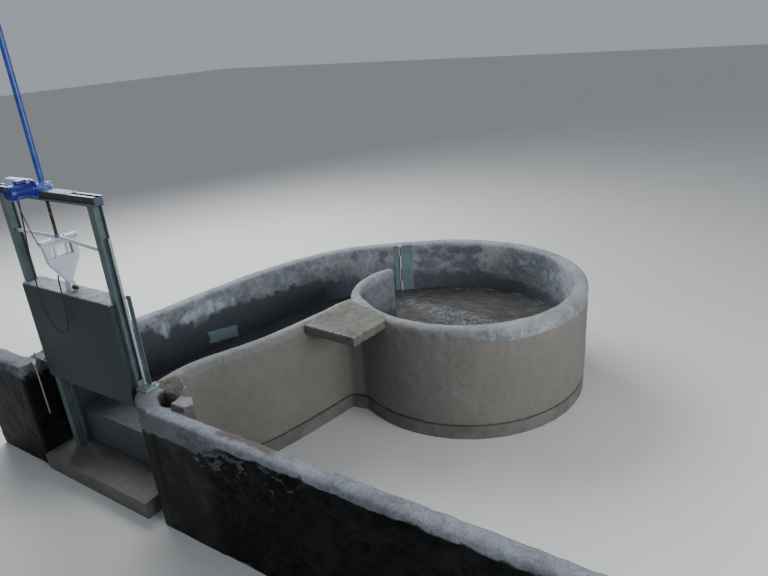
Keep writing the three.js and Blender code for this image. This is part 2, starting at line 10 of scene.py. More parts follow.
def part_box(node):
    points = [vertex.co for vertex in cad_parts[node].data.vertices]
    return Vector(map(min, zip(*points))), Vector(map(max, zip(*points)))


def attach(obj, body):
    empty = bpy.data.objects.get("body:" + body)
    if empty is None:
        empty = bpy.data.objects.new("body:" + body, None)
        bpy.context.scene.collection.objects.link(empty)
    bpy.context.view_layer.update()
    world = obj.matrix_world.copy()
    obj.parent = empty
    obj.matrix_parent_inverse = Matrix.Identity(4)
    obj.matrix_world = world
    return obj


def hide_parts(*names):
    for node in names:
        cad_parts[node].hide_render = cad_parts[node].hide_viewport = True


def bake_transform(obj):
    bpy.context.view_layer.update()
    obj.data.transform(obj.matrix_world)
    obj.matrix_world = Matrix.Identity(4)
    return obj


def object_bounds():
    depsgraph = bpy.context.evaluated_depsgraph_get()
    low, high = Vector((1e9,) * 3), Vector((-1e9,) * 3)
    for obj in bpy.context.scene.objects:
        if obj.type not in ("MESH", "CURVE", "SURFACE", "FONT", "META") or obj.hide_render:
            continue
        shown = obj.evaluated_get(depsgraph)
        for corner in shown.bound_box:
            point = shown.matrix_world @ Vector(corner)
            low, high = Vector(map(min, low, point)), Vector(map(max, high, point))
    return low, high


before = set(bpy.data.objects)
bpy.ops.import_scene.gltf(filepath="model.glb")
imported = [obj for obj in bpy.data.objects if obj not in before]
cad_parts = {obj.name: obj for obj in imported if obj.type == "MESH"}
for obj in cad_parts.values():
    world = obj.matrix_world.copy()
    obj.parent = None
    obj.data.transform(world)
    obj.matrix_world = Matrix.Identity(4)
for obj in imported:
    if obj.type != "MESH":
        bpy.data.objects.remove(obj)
cad_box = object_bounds()


# Viewpoint
# From above the long wall, turned from the line of the channel, tipped down to the basin and
# leaning a little to one side. The lens is a short one of 29 mm.
VIEW_PLACE = (5.0273, -2.6816, 3.8700)
VIEW_HEADING = 34.0
VIEW_DOWN = 22.43
VIEW_LEAN = -4.38
lens = bpy.data.cameras.new("viewpoint")
lens.lens = 29.33
lens.sensor_width = 36
lens.clip_start = 0.1
lens.clip_end = 200
camera = bpy.data.objects.new("viewpoint", lens)
bpy.context.scene.collection.objects.link(camera)
turn = Matrix.Rotation(math.radians(VIEW_HEADING), 4, "Z")
tip = Matrix.Rotation(math.radians(90 - VIEW_DOWN), 4, "X")
lean = Matrix.Rotation(math.radians(VIEW_LEAN), 4, "Z")
camera.matrix_world = Matrix.Translation(VIEW_PLACE) @ turn @ tip @ lean
bpy.context.scene.camera = camera


# Walls of basin and channel
# Concrete cast in place and rendered by hand: the round basin, the scroll that leads into it, both
# sides of the inlet channel and the tongue between them, grown together into one body. The rims are
# rounded by hand, and the lower half of every wet face is dark with water, darker still along the
# channel as painted shade.
WALL_NODES = ["basin_wall_1", "basin_wall_2", "basin_wall_3", "basin_wall_4", "scroll_wall_1",
              "scroll_wall_2", "far_channel_wall_1", "far_channel_wall_2", "near_channel_wall",
              "tongue_wall", "tongue_root"]
WALL_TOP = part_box("basin_wall_1")[1].z
STAIN_LEVEL = 1.10
BASIN_CENTRE = Vector((2.116, 3.260))
BASIN_RADIUS = 1.187


def on_basin(degrees, radius=BASIN_RADIUS):
    angle = math.radians(degrees)
    return (BASIN_CENTRE.x + radius * math.cos(angle), BASIN_CENTRE.y + radius * math.sin(angle))


def smooth_line(points, steps=8):
    """Points close together on the smooth line through a few set ones."""
    p = [np.array(q, float) for q in points]
    p = [2 * p[0] - p[1], *p, 2 * p[-1] - p[-2]]
    line = []
    for a, b, c, d in zip(p, p[1:], p[2:], p[3:]):
        t1 = np.linalg.norm(b - a) ** 0.5
        t2 = t1 + np.linalg.norm(c - b) ** 0.5
        t3 = t2 + np.linalg.norm(d - c) ** 0.5
        for t in np.linspace(t1, t2, steps, endpoint=False):
            ab = ((t1 - t) * a + t * b) / t1
            bc = ((t2 - t) * b + (t - t1) * c) / (t2 - t1)
            cd = ((t3 - t) * c + (t - t2) * d) / (t3 - t2)
            abc = ((t2 - t) * ab + t * bc) / t2
            bcd = ((t3 - t) * bc + (t - t1) * cd) / (t3 - t1)
            line.append(((t2 - t) * abc + (t - t1) * bcd) / (t2 - t1))
    return np.array([*line, p[-2]])


# Wet faces in plan: round the basin, through the scroll and back along the far side to the gate,
# and the near side of the channel from the gate to the tongue
outer_face = smooth_line(
    [on_basin(angle) for angle in np.linspace(-118, 99, 16)]
    + [on_basin(112, 1.225), on_basin(125, 1.275), on_basin(138, 1.325)]
    + [(0.63, 3.81), (0.33, 3.55), (0.10, 3.21), (-0.08, 2.83), (-0.21, 2.41), (-0.30, 1.95),
       (-0.38, 1.45), (-0.45, 0.95), (-0.65, 0.40), (-0.65, 0.11)])
near_face = smooth_line(
    [(0.69, 0.11), (0.69, 0.37), (0.74, 0.60), (0.83, 0.80), (0.925, 1.00), (1.00, 1.24),
     (1.055, 1.48), (1.10, 1.70), (1.14, 1.90), (1.17, 2.06)])
water_plan = np.vstack([near_face, outer_face])


def beside(at, line):
    """Distance in plan from each point to a line, and how far along the line its nearest point is."""
    steps = np.diff(line, axis=0)
    lengths = np.linalg.norm(steps, axis=1)
    nearest = np.full(len(at), 99.0)
    along = np.zeros(len(at))
    run = 0.0
    for start, step, length in zip(line, steps, lengths):
        share = np.clip((at - start) @ step / length ** 2, 0, 1)
        distance = np.linalg.norm(at - start - share[:, None] * step, axis=1)
        closer = distance < nearest
        nearest[closer] = distance[closer]
        along[closer] = run + share[closer] * length
        run += length
    return nearest, along


def within(at, outline):
    """True for each point of the plan that lies inside a closed outline."""
    inside = np.zeros(len(at), bool)
    for a, b in zip(outline, np.roll(outline, -1, axis=0)):
        if a[1] == b[1]:
            continue
        crosses = (a[1] > at[:, 1]) != (b[1] > at[:, 1])
        x = a[0] + (at[:, 1] - a[1]) * (b[0] - a[0]) / (b[1] - a[1])
        inside ^= crosses & (at[:, 0] < x)
    return inside


def points_of(mesh):
    flat = np.empty(len(mesh.vertices) * 3, np.float32)
    mesh.vertices.foreach_get("co", flat)
    return flat.reshape(-1, 3).astype(float)


def facing_of(mesh):
    flat = np.empty(len(mesh.vertices) * 3, np.float32)
    mesh.vertices.foreach_get("normal", flat)
    return flat.reshape(-1, 3).astype(float)


def reshape(mesh, points):
    """New places for a mesh's points, none of them outside the box of the frame."""
    inside = np.clip(points, *(np.array(corner) for corner in cad_box))
    mesh.vertices.foreach_set("co", inside.astype(np.float32).ravel())
    mesh.update()


def mark(mesh, name, values):
    """A value at each point of a mesh that its finish reads by name."""
    layer = mesh.attributes.new(name, "FLOAT", "POINT")
    layer.data.foreach_set("value", np.asarray(values, np.float32))


def ramp(values, low, high):
    share = np.clip((values - low) / (high - low), 0, 1)
    return share * share * (3 - 2 * share)


def lumps(points, size, octaves=3):
    """Unevenness between about -1 and 1, its bumps of about this size."""
    return np.array([noise.fractal(Vector(p) / size, 1.0, 2.0, octaves) for p in points])


def piece(name, mesh):
    made = bpy.data.objects.new(name, mesh)
    bpy.context.scene.collection.objects.link(made)
    return made


def skinned(name, body, grain, rounds):
    """One skin over a rough solid, its cells of the size grain, its edges softened by rounds."""
    rough = bpy.data.meshes.new(name)
    body.to_mesh(rough)
    body.free()
    source = piece(name + "_source", rough)
    skin = source.modifiers.new("skin", "REMESH")
    skin.mode = "VOXEL"
    skin.voxel_size = grain
    soften = source.modifiers.new("soften", "SMOOTH")
    soften.factor = 0.5
    soften.iterations = rounds
    ready = source.evaluated_get(bpy.context.evaluated_depsgraph_get())
    mesh = bpy.data.meshes.new_from_object(ready)
    mesh.name = name
    bpy.data.objects.remove(source)
    mesh.shade_smooth()
    return mesh


def grown_together(name, nodes, grain, rounds):
    """Several cast solids as one body."""
    joined = bmesh.new()
    for node in nodes:
        joined.from_mesh(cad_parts[node].data)
    bmesh.ops.remove_doubles(joined, verts=joined.verts, dist=1e-5)
    return skinned(name, joined, grain, rounds)


class Finish:
    """The nodes of one material. Each method adds a step and returns its result."""

    def __init__(self, name):
        self.material = bpy.data.materials.new(name)
        self.material.use_nodes = True
        self.nodes = self.material.node_tree.nodes
        self.links = self.material.node_tree.links
        self.nodes.clear()
        self.place = self.add("ShaderNodeTexCoord").outputs["Object"]
        self.height = self.add("ShaderNodeSeparateXYZ", {0: self.place}).outputs["Z"]
        facing = self.add("ShaderNodeTexCoord").outputs["Normal"]
        self.upward = self.add("ShaderNodeSeparateXYZ", {0: facing}).outputs["Z"]

    def add(self, kind, inputs=None, **settings):
        node = self.nodes.new(kind)
        for key, value in settings.items():
            setattr(node, key, value)
        for key, value in (inputs or {}).items():
            self.feed(node.inputs[key], value)
        return node

    def feed(self, socket, value):
        if isinstance(value, bpy.types.NodeSocket):
            self.links.new(value, socket)
        elif isinstance(value, tuple) and len(value) == 3 and socket.type == "RGBA":
            socket.default_value = (*value, 1)
        else:
            socket.default_value = value

    def grain(self, scale, detail=4, roughness=0.6, stretch=(1, 1, 1), shift=(0, 0, 0)):
        at = self.add("ShaderNodeMapping", {"Vector": self.place, "Scale": stretch, "Location": shift})
        settings = {"Vector": at.outputs[0], "Scale": scale, "Detail": detail, "Roughness": roughness}
        return self.add("ShaderNodeTexNoise", settings).outputs["Fac"]

    def cells(self, scale):
        settings = {"Vector": self.place, "Scale": scale}
        return self.add("ShaderNodeTexVoronoi", settings).outputs["Distance"]

    def mark(self, name):
        return self.add("ShaderNodeAttribute", attribute_name=name).outputs["Fac"]

    def maths(self, operation, first, second):
        return self.add("ShaderNodeMath", {0: first, 1: second}, operation=operation).outputs[0]

    def times(self, first, second):
        return self.maths("MULTIPLY", first, second)

    def stirred(self, value, noisy, share):
        """A value with a share of some noise added, counted from the middle of the noise."""
        return self.maths("ADD", value, self.times(self.maths("SUBTRACT", noisy, 0.5), share))

    def range(self, value, low, high):
        settings = {"Value": value, "From Min": low, "From Max": high}
        node = self.add("ShaderNodeMapRange", settings, interpolation_type="SMOOTHSTEP")
        return node.outputs["Result"]

    def between(self, share, low, high):
        settings = {"Value": share, "To Min": low, "To Max": high}
        return self.add("ShaderNodeMapRange", settings).outputs["Result"]

    def blend(self, share, first, second):
        return self.add("ShaderNodeMix", {0: share, 2: first, 3: second}, data_type="FLOAT").outputs[0]

    def mix(self, share, first, second):
        node = self.add("ShaderNodeMix", {0: share, 6: first, 7: second}, data_type="RGBA")
        return node.outputs[2]

    def relief(self, height, depth, under=None):
        node = self.add("ShaderNodeBump", {"Height": height, "Distance": depth, "Strength": 1.0})
        if under is not None:
            self.links.new(under, node.inputs["Normal"])
        return node.outputs["Normal"]

    def close(self, colour, roughness, relief=None, **sockets):
        shader = self.add("ShaderNodeBsdfPrincipled", {"Base Color": colour, "Roughness": roughness})
        for name, value in sockets.items():
            self.feed(shader.inputs[name.replace("_", " ")], value)
        if relief is not None:
            self.links.new(relief, shader.inputs["Normal"])
        self.add("ShaderNodeOutputMaterial", {"Surface": shader.outputs[0]})
        return self.material


def colour(red, green, blue):
    """A colour as the eye reads it, 0 to 255, turned into amounts of light."""
    return tuple(c / 12.92 if c <= 0.04045 else ((c + 0.055) / 1.055) ** 2.4
                 for c in (red / 255, green / 255, blue / 255))


def shaded(tone, share):
    """A colour made darker or paler."""
    return tuple(share * c for c in tone)


DRY = -0.5
WARM_TONE = colour(150, 141, 128)
LIME_WHITE = colour(168, 180, 190)
NEW_RENDER = colour(138, 158, 162)


def cast_concrete(name, light, dull, wet, stain, ragged=1.0, soft=0.042, trowel_and_top_light=(0.50, 0.95),
                  shine=0.35):
    """Hand-rendered concrete, marked for damp, blotches, lime, patches and earth, the lime in places also
    painted light, and for two kinds of painted shade: one darkens damp faces further, one, partly dirt,
    darkens any face.

    Damp is the height that a point lies below the damp's edge, or DRY. The others are shares.
    """
    coat = Finish(name)
    clouds = coat.grain(3.1, 6, 0.62)
    blots = coat.grain(7.5, 6, 0.64, shift=(3, 1, 2))
    spots = coat.grain(15, 6, 0.68)
    sand = coat.grain(75, 5, 0.7)
    grit = coat.grain(330, 3, 0.6)
    runs = coat.grain(11, 5, 0.62, stretch=(1, 1, 0.10))
    pits = coat.cells(42)
    tone = coat.maths("ADD", coat.times(clouds, 0.55), coat.times(spots, 0.45))
    # The dry face is clouded, with dark sand and pale flecks. Faces turned up are evener where the trowel
    # went, and with most finishes paler, as painted light from above.
    even = coat.between(coat.range(tone, 0.34, 0.66), *trowel_and_top_light)
    lit_trowelled_tops = coat.range(coat.upward, 0.30, 0.80)
    dry = coat.mix(coat.blend(lit_trowelled_tops, coat.range(tone, 0.36, 0.66), even), dull, light)
    dry = coat.mix(coat.times(coat.range(blots, 0.50, 0.66), 0.20), dry, WARM_TONE)
    specks = coat.maths("SUBTRACT", 1.0, coat.range(sand, 0.34, 0.56))
    dry = coat.mix(coat.times(specks, 0.62), dry, shaded(dull, 0.80))
    flecks = coat.range(coat.grain(48, 6, 0.72, shift=(5, 2, 9)), 0.60, 0.70)
    dry = coat.mix(coat.times(flecks, 0.45), dry, shaded(light, 1.25))
    dry = coat.mix(coat.times(coat.range(grit, 0.60, 0.70), 0.30), dry, shaded(dull, 0.45))
    # Damp ends upwards in a ragged edge, with blotches above it
    edge = coat.mark("damp")
    for noisy, share in ((clouds, 0.30), (blots, 0.30), (spots, 0.13), (runs, 0.07), (sand, 0.08)):
        edge = coat.stirred(edge, noisy, share * ragged)
    blotches = coat.stirred(coat.stirred(coat.mark("blotch"), blots, 2.4), spots, 1.3)
    blotches = coat.times(coat.range(blotches, 0.40, 0.86), 0.85)
    damp = coat.maths("MAXIMUM", coat.range(edge, -soft, soft), blotches)
    wet_tone = coat.mix(coat.range(spots, 0.36, 0.66), wet, shaded(wet, 1.30))
    wet_tone = coat.mix(coat.times(coat.range(clouds, 0.45, 0.75), 0.30), wet_tone, dull)
    # Painted shade: damp faces are darkened further where so marked.
    wet_tone = coat.mix(coat.mark("deep_shade"), wet_tone, shaded(wet, 0.55))
    # The grime mark, partly dirt and partly painted shade, draws the face towards the wet tone.
    body = coat.mix(coat.maths("MAXIMUM", damp, coat.mark("grime_and_shade")), dry, wet_tone)
    # Lime that ran down, newer render and earth lie over dry and damp alike
    lime_and_light = coat.range(coat.stirred(coat.mark("lime_and_light"), spots, 1.2), 0.45, 0.85)
    lime_and_light = coat.times(lime_and_light, coat.range(runs, 0.34, 0.62))
    body = coat.mix(coat.times(lime_and_light, 0.85), body, LIME_WHITE)
    patch = coat.range(coat.stirred(coat.mark("patch"), spots, 0.9), 0.30, 0.72)
    body = coat.mix(coat.times(patch, 0.8), body, NEW_RENDER)
    earth = coat.range(coat.stirred(coat.mark("earth"), tone, 1.3), 0.30, 0.75)
    body = coat.mix(coat.times(earth, 0.85), body, stain)
    relief = coat.relief(tone, 0.018)
    relief = coat.relief(sand, 0.0045, relief)
    relief = coat.relief(coat.range(pits, 0.0, 0.22), 0.0016, relief)
    relief = coat.relief(grit, 0.0012, relief)
    return coat.close(body, coat.between(damp, 0.93, 0.52), relief, Specular_IOR_Level=shine)


def cast(name, mesh, finish, *nodes):
    """A piece of concrete that stays where it was cast, and the nodes that it stands for."""
    made = piece(name, mesh)
    made.data.materials.append(finish)
    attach(made, "root")
    if nodes:
        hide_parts(*nodes)


concrete = cast_concrete("cast_concrete", colour(162, 167, 172), colour(100, 106, 113),
                         colour(78, 83, 90), colour(108, 103, 96), soft=0.032, trowel_and_top_light=(0.30, 0.95))

# Outline of the landing slab, under which the walls stop short
SLAB_OUTLINE = np.array([(1.225, 1.505), (1.845, 1.470), (1.900, 1.930), (1.800, 2.040),
                         (1.693, 2.087), (1.551, 2.133), (1.400, 2.190), (1.280, 2.220),
                         (1.245, 2.120), (1.228, 1.800)])
SLAB_SEAT = 1.195
WALL_GRAIN = 0.0208
walls = grown_together("basin_and_channel_walls", WALL_NODES, WALL_GRAIN, 4)
at = points_of(walls)
plan = at[:, :2]
to_outer, run = beside(plan, outer_face)
to_face = np.minimum(to_outer, beside(plan, near_face)[0])
from_water = np.where(within(plan, water_plan), -to_face, to_face)
swell = 0.0045 * lumps(at, 0.34) + 0.0020 * lumps(at, 0.085, 2)
# The near side's outer edge was never rendered and is ragged
near_side = ramp(-plan[:, 1], -2.3, -2.0) * (plan[:, 0] > 0.3)
outer_edge = near_side * ramp(from_water, 0.05, 0.11) * ramp(at[:, 2], 1.05, 1.15)
swell += outer_edge * 0.012 * lumps(at + 7.0, 0.07, 3)
moved = at + facing_of(walls) * swell[:, None]
seated = within(plan, SLAB_OUTLINE) & (moved[:, 2] > SLAB_SEAT)
moved[seated, 2] = SLAB_SEAT
reshape(walls, moved)

# Upper edge of the damp, at places along the wall: x, y and height
DAMP_EDGE = [(-0.65, 0.30, 1.14), (-0.49, 0.83, 1.13), (-0.45, 0.94, 1.10), (-0.44, 1.01, 1.04),
             (-0.43, 1.09, 0.98), (-0.416, 1.19, 1.07), (-0.40, 1.31, 1.00), (-0.39, 1.39, 1.02),
             (-0.38, 1.46, 0.92), (-0.36, 1.58, 0.97), (-0.33, 1.75, 0.95), (-0.31, 1.87, 0.98),
             (-0.275, 2.08, 1.00), (-0.245, 2.23, 0.95), (-0.21, 2.42, 0.91), (-0.16, 2.57, 0.92),
             (-0.04, 2.92, 0.91), (0.115, 3.21, 0.91), (0.314, 3.51, 0.83), (0.70, 3.86, 0.83),
             (1.24, 4.22, 0.81), (1.76, 4.41, 0.80), (2.09, 4.45, 0.79), (2.41, 4.41, 0.75),
             (2.77, 4.25, 0.73), (3.10, 3.93, 0.74), (3.30, 3.20, 0.76), (2.50, 2.14, 0.76)]
edge_runs = beside(np.array([(x, y) for x, y, _ in DAMP_EDGE]), outer_face)[1]
order = np.argsort(edge_runs)
edge_height = np.interp(run, edge_runs[order], np.array([z for _, _, z in DAMP_EDGE])[order])
TONGUE_DAMP = 0.73
on_tongue = (from_water < -0.05) & (at[:, 2] > 0.16)
edge_height[on_tongue] = TONGUE_DAMP
wet_side = ramp(-from_water, -0.060, -0.025)
mark(walls, "damp", np.where(wet_side > 0.5, edge_height - at[:, 2], DRY))
# Painted shade: towards the gate the channel's wet faces are darkened further.
mark(walls, "deep_shade", 0.50 * ramp(3.6 - plan[:, 1], 0.0, 1.0) * ramp(1.3 - plan[:, 0], 0.0, 0.4))

# Damp blotches above that edge: x, y, height, half width along the wall, half height, strength
BLOTCHES = [(1.66, 4.39, 0.96, 0.11, 0.20, 1.1), (1.68, 4.40, 1.13, 0.14, 0.05, 1.1),
            (1.40, 4.31, 1.02, 0.46, 0.22, 0.56), (1.10, 4.13, 1.12, 0.10, 0.05, 1.0),
            (1.26, 4.23, 1.15, 0.14, 0.035, 0.95), (1.45, 4.33, 1.11, 0.12, 0.06, 1.1),
            (1.52, 4.36, 0.90, 0.16, 0.06, 1.0), (1.10, 4.13, 0.95, 0.12, 0.05, 0.8),
            (0.68, 3.86, 1.12, 0.08, 0.05, 1.0), (0.64, 3.82, 1.03, 0.05, 0.04, 0.8),
            (2.61, 4.34, 0.85, 0.03, 0.05, 0.75), (2.00, 4.44, 1.14, 0.10, 0.03, 0.5),
            (2.19, 4.44, 0.95, 0.07, 0.05, 0.45), (2.45, 4.40, 1.10, 0.20, 0.06, 0.28),
            (1.22, 4.21, 1.05, 0.10, 0.05, 0.8), (-0.15, 2.63, 1.00, 0.06, 0.05, 0.5),
            (-0.24, 2.25, 1.10, 0.05, 0.04, 0.45),
            (0.12, 3.24, 0.91, 0.06, 0.03, 0.6), (0.03, 3.10, 0.96, 0.08, 0.04, 0.5),
            (-0.30, 1.97, 1.06, 0.04, 0.07, 0.6), (-0.34, 1.75, 1.02, 0.03, 0.06, 0.6),
            (-0.37, 1.50, 1.05, 0.05, 0.08, 0.55), (-0.20, 2.45, 1.02, 0.10, 0.06, 0.35)]


def ovals(list_of_places):
    found = np.zeros(len(at))
    for x, y, z, half_width, half_height, strength in list_of_places:
        centre = beside(np.array([(x, y)]), outer_face)[1][0]
        square = ((run - centre) / half_width) ** 2 + ((at[:, 2] - z) / half_height) ** 2
        found = np.maximum(found, strength * np.exp(-0.7 * square))
    return found * (to_outer < 0.05)


tongue_face = on_tongue & (plan[:, 1] > 2.25)
mark(walls, "blotch", ovals(BLOTCHES))
# The tongue's inner face is darkened below its top as painted shade, and the outer faces are darker below
# the stain line.
mark(walls, "grime_and_shade", 0.56 * tongue_face * ramp(WALL_TOP - 0.03 - at[:, 2], 0.0, 0.10)
     + 0.30 * ramp(from_water, -0.02, 0.0) * ramp(STAIN_LEVEL - at[:, 2], 0.0, 0.30))
# Lime washed out of the far wall, in the same terms, and a patch of newer render below it. The last
# four entries, round the basin's right side, are partly lime and partly painted light on that face.
LIME_AND_LIGHT = [(-0.35, 1.64, 1.06, 0.24, 0.09, 1.0), (-0.315, 1.86, 1.04, 0.20, 0.07, 0.95),
        (-0.385, 1.41, 1.05, 0.14, 0.08, 0.95), (-0.43, 1.10, 1.04, 0.07, 0.12, 1.0),
        (-0.30, 1.95, 0.98, 0.10, 0.05, 0.6), (-0.25, 2.20, 1.05, 0.14, 0.07, 0.5),
        (3.12, 3.93, 1.02, 0.40, 0.20, 0.80), (3.30, 3.35, 1.02, 0.50, 0.20, 0.80),
        (2.45, 4.40, 1.02, 0.35, 0.16, 0.62), (2.87, 4.18, 0.98, 0.30, 0.18, 0.70)]
mark(walls, "lime_and_light", ovals(LIME_AND_LIGHT))
PATCH_SIDES = (1.60, 1.985)
PATCH_HEIGHT = 0.150
PATCH_MIDDLE = (0.705, 0.640)
patch_middle = np.interp(at[:, 1], PATCH_SIDES, PATCH_MIDDLE)
in_patch = np.minimum.reduce([(at[:, 1] - PATCH_SIDES[0]) / 0.07, (PATCH_SIDES[1] - at[:, 1]) / 0.05,
                              (PATCH_HEIGHT / 2 - abs(at[:, 2] - patch_middle)) / 0.05])
on_far_wall = (plan[:, 0] < 0) & (from_water < 0.05)
mark(walls, "patch", np.clip(0.5 + in_patch, 0, 1) * on_far_wall)
stain_line = STAIN_LEVEL + 0.075 * near_side
by_gate = ramp(1.5 - plan[:, 1], 0.0, 0.6)
trodden = near_side * ramp(from_water + 0.07 * by_gate, 0.045, 0.12) * 0.58
below = ramp(from_water, 0.09, 0.13) * ramp(stain_line - at[:, 2], 0.0, 0.04)
mark(walls, "earth", np.maximum(below, trodden))
cast("basin_and_channel_walls", walls, concrete, *WALL_NODES)


# Floors and gate sill
# Slabs of plain concrete under basin, channel and gate. Their edges show round the foot of the
# walls, and what little of their top shows is under water.
coat = Finish("floor_concrete")
clouds = coat.grain(4, 6, 0.62)
sand = coat.grain(60, 5, 0.7)
silt = coat.mix(coat.range(clouds, 0.30, 0.70), colour(82, 81, 78), colour(108, 106, 102))
silt = coat.mix(coat.times(sand, 0.35), silt, colour(70, 68, 64))
relief = coat.relief(sand, 0.004, coat.relief(clouds, 0.015))
floor_concrete = coat.close(silt, coat.between(clouds, 0.62, 0.85), relief)
for node in ("basin_floor", "channel_floor", "gate_sill"):
    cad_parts[node].data.materials.clear()
    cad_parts[node].data.materials.append(floor_concrete)


# Landing slab
# A slab over the corner between channel wall and basin wall, cast later in a browner mix, with a
# worn middle and paler, chipped edges. It lies on both walls' rims and meets the tongue.
SLAB_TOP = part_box("landing_slab")[1].z + 0.002
SLAB_THICKNESS = 0.098
WORN_PLACE = (1.58, 1.80)
WORN_DEPTH = 0.009
slab_concrete = cast_concrete("slab_concrete", colour(136, 134, 128), colour(80, 77, 72),
                              colour(70, 67, 63), colour(78, 75, 71), trowel_and_top_light=(0.05, 0.95))
rough_slab = bmesh.new()
foot = [rough_slab.verts.new((x, y, SLAB_TOP - SLAB_THICKNESS)) for x, y in SLAB_OUTLINE]
head = [rough_slab.verts.new((x, y, SLAB_TOP)) for x, y in SLAB_OUTLINE]
rough_slab.faces.new(head)
rough_slab.faces.new(foot[::-1])
for k in range(len(foot)):
    rough_slab.faces.new([foot[k - 1], foot[k], head[k], head[k - 1]])
slab = skinned("landing_pad", rough_slab, 0.0115, 3)
at = points_of(slab)
from_worn = np.linalg.norm(at[:, :2] - np.array(WORN_PLACE), axis=1)
top_side = ramp(at[:, 2], SLAB_TOP - 0.02, SLAB_TOP)
moved = at + facing_of(slab) * (0.0040 * lumps(at, 0.11))[:, None]
moved[:, 2] -= WORN_DEPTH * (1 - ramp(from_worn, 0.05, 0.30)) * top_side
reshape(slab, moved)
to_rim = beside(at[:, :2], np.vstack([SLAB_OUTLINE, SLAB_OUTLINE[:1]]))[0]
mark(slab, "damp", np.where(top_side > 0.5, DRY, -0.10))
mark(slab, "blotch", 0.56 * (1 - ramp(from_worn, 0.10, 0.42)))
mark(slab, "lime_and_light", 0.62 * (1 - ramp(to_rim, 0.015, 0.05)) * top_side)
mark(slab, "earth", np.where(top_side > 0.5, 0.30, 0.50))
cast("landing_pad", slab, slab_concrete, "landing_slab")


# River wall
# The long wall at the gate's right, with a thick rounded coping over it. By the gate its face is
# rendered smooth with a pale band at the top, and its faces standing up are darkened as painted shade.
# Further on it is bare rubble under the coping's ragged edge, black with damp and darkened further as
# painted shade under the coping. Its corner behind the gate is broken open, with a pocket in it,
# darkened as painted shade.
RIVER_NODES = ["river_wall", "river_coping", "gate_pier_right", "corner_haunch"]
COPING_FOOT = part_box("river_coping")[0].z
RUBBLE_DEPTH = 0.034
POCKET_DEPTH = 0.140
BARE_FROM = (1.50, 1.80)
BAND_FOOT = 1.005
POCKET = ((0.900, -0.005), (0.930, 0.035), (1.110, 0.035), (1.150, -0.020), (1.125, -0.085),
          (1.030, -0.108), (0.950, -0.070))
river = grown_together("river_wall_with_coping", RIVER_NODES, 0.0150, 3)
at = points_of(river)
facing = facing_of(river)
bare = ramp(at[:, 0], *BARE_FROM)
drip = COPING_FOOT - 0.006 + 0.034 * lumps(at * (1, 0, 0), 0.30, 4)
below_coping = ramp(drip - at[:, 2], -0.006, 0.012)
front = ramp(-facing[:, 1], 0.3, 0.7)
hollow = 1 - ramp(drip - at[:, 2], 0.05, 0.20)
rubble = RUBBLE_DEPTH * lumps(at * (1, 1, 1.6), 0.10, 4) - 0.022 - 0.022 * hollow
smooth = 0.003 * lumps(at, 0.25)
out = smooth + bare * below_coping * front * (rubble - smooth)
out += (1 - below_coping) * bare * 0.007 * lumps(at + 3.0, 0.16, 4)
moved = at + facing * out[:, None]
on_top = ramp(at[:, 2], 1.12, 1.17)
pocket_line = np.array([*POCKET, POCKET[0]])
in_plan = np.where(within(at[:, :2], np.array(POCKET)), 1, -1)
pocket_reach = in_plan * beside(at[:, :2], pocket_line)[0]
pocket_depth = ramp(pocket_reach + 0.008 * lumps(at, 0.04, 3), -0.004, 0.014)
moved[:, 2] -= POCKET_DEPTH * pocket_depth * on_top
reshape(river, moved)
patchy = ramp(lumps(at * (1, 0, 1), 0.10, 4), 0.0, 0.55)
face_damp = np.where(at[:, 0] < BARE_FROM[1], BAND_FOOT, drip + 0.004)
face_damp = face_damp + 0.03 * ramp(at[:, 0], 1.45, 1.80) * patchy
gate_side = (at[:, 0] < 0.95) & (at[:, 1] < 0.11)
speckled = ramp(at[:, 0], 1.42, 1.58) * (1 - 0.85 * ramp(at[:, 0], 2.3, 2.9))
speckled *= front * below_coping * ramp(at[:, 2], 0.76, 0.93)
speckled *= ramp(lumps(at * (0.55, 1, 1.3) + 5.0, 0.060, 5), -0.02, 0.26)
upright = np.maximum(ramp(front, 0.15, 0.65), gate_side * ramp(0.7 - facing[:, 2], 0.0, 0.4))
river_damp = upright * (face_damp - at[:, 2]) + DRY * (1 - upright)
mark(river, "damp", river_damp * (1 - speckled) - 0.03 * speckled)
# Faces standing up by the gate are darkened evenly as painted shade, and the speckled rubble below the
# coping is darkened too.
mark(river, "grime_and_shade", np.maximum(0.42 * upright * (1 - bare), 0.66 * speckled))
dirt = ramp(0.42 - abs(at[:, 0] - 2.02), 0.0, 0.20)
dirt *= ramp(at[:, 1] + 0.03 * lumps(at, 0.08), -0.235, -0.165)
back = ramp(facing[:, 1], 0.3, 0.7) * ramp(STAIN_LEVEL + 0.04 - at[:, 2], 0.0, 0.05)
pier_top = on_top * ramp(1.06 - at[:, 0], 0.0, 0.06)
in_pocket = ramp(pocket_reach, -0.012, 0.006) * on_top
haunch_top = ramp(at[:, 1], -0.112, -0.085) * ramp(at[:, 0], 0.95, 1.03)
haunch_top *= ramp(1.204 - at[:, 2], 0.0, 0.010)
far_edge = ramp(at[:, 1], -0.18, -0.12) * on_top
mark(river, "earth", np.maximum.reduce([0.66 * dirt * on_top, 0.62 * back, 0.46 * pier_top, in_pocket,
                                        0.95 * haunch_top, 0.44 * far_edge]))
# The pocket is darkened as painted shade in its hollow, over its earth, and the bare rubble's face is
# darkened further as painted shade under the coping.
mark(river, "blotch", 1.2 * in_pocket)
mark(river, "deep_shade", np.maximum(0.75 * front * bare, 1.5 * in_pocket))
river_concrete = cast_concrete("river_concrete", colour(152, 157, 166), colour(104, 108, 114),
                               colour(18, 19, 19), colour(84, 76, 68), ragged=0.30, soft=0.020,
                               trowel_and_top_light=(0.0, 0.92), shine=0.14)
cast("river_wall_with_coping", river, river_concrete, *RIVER_NODES)


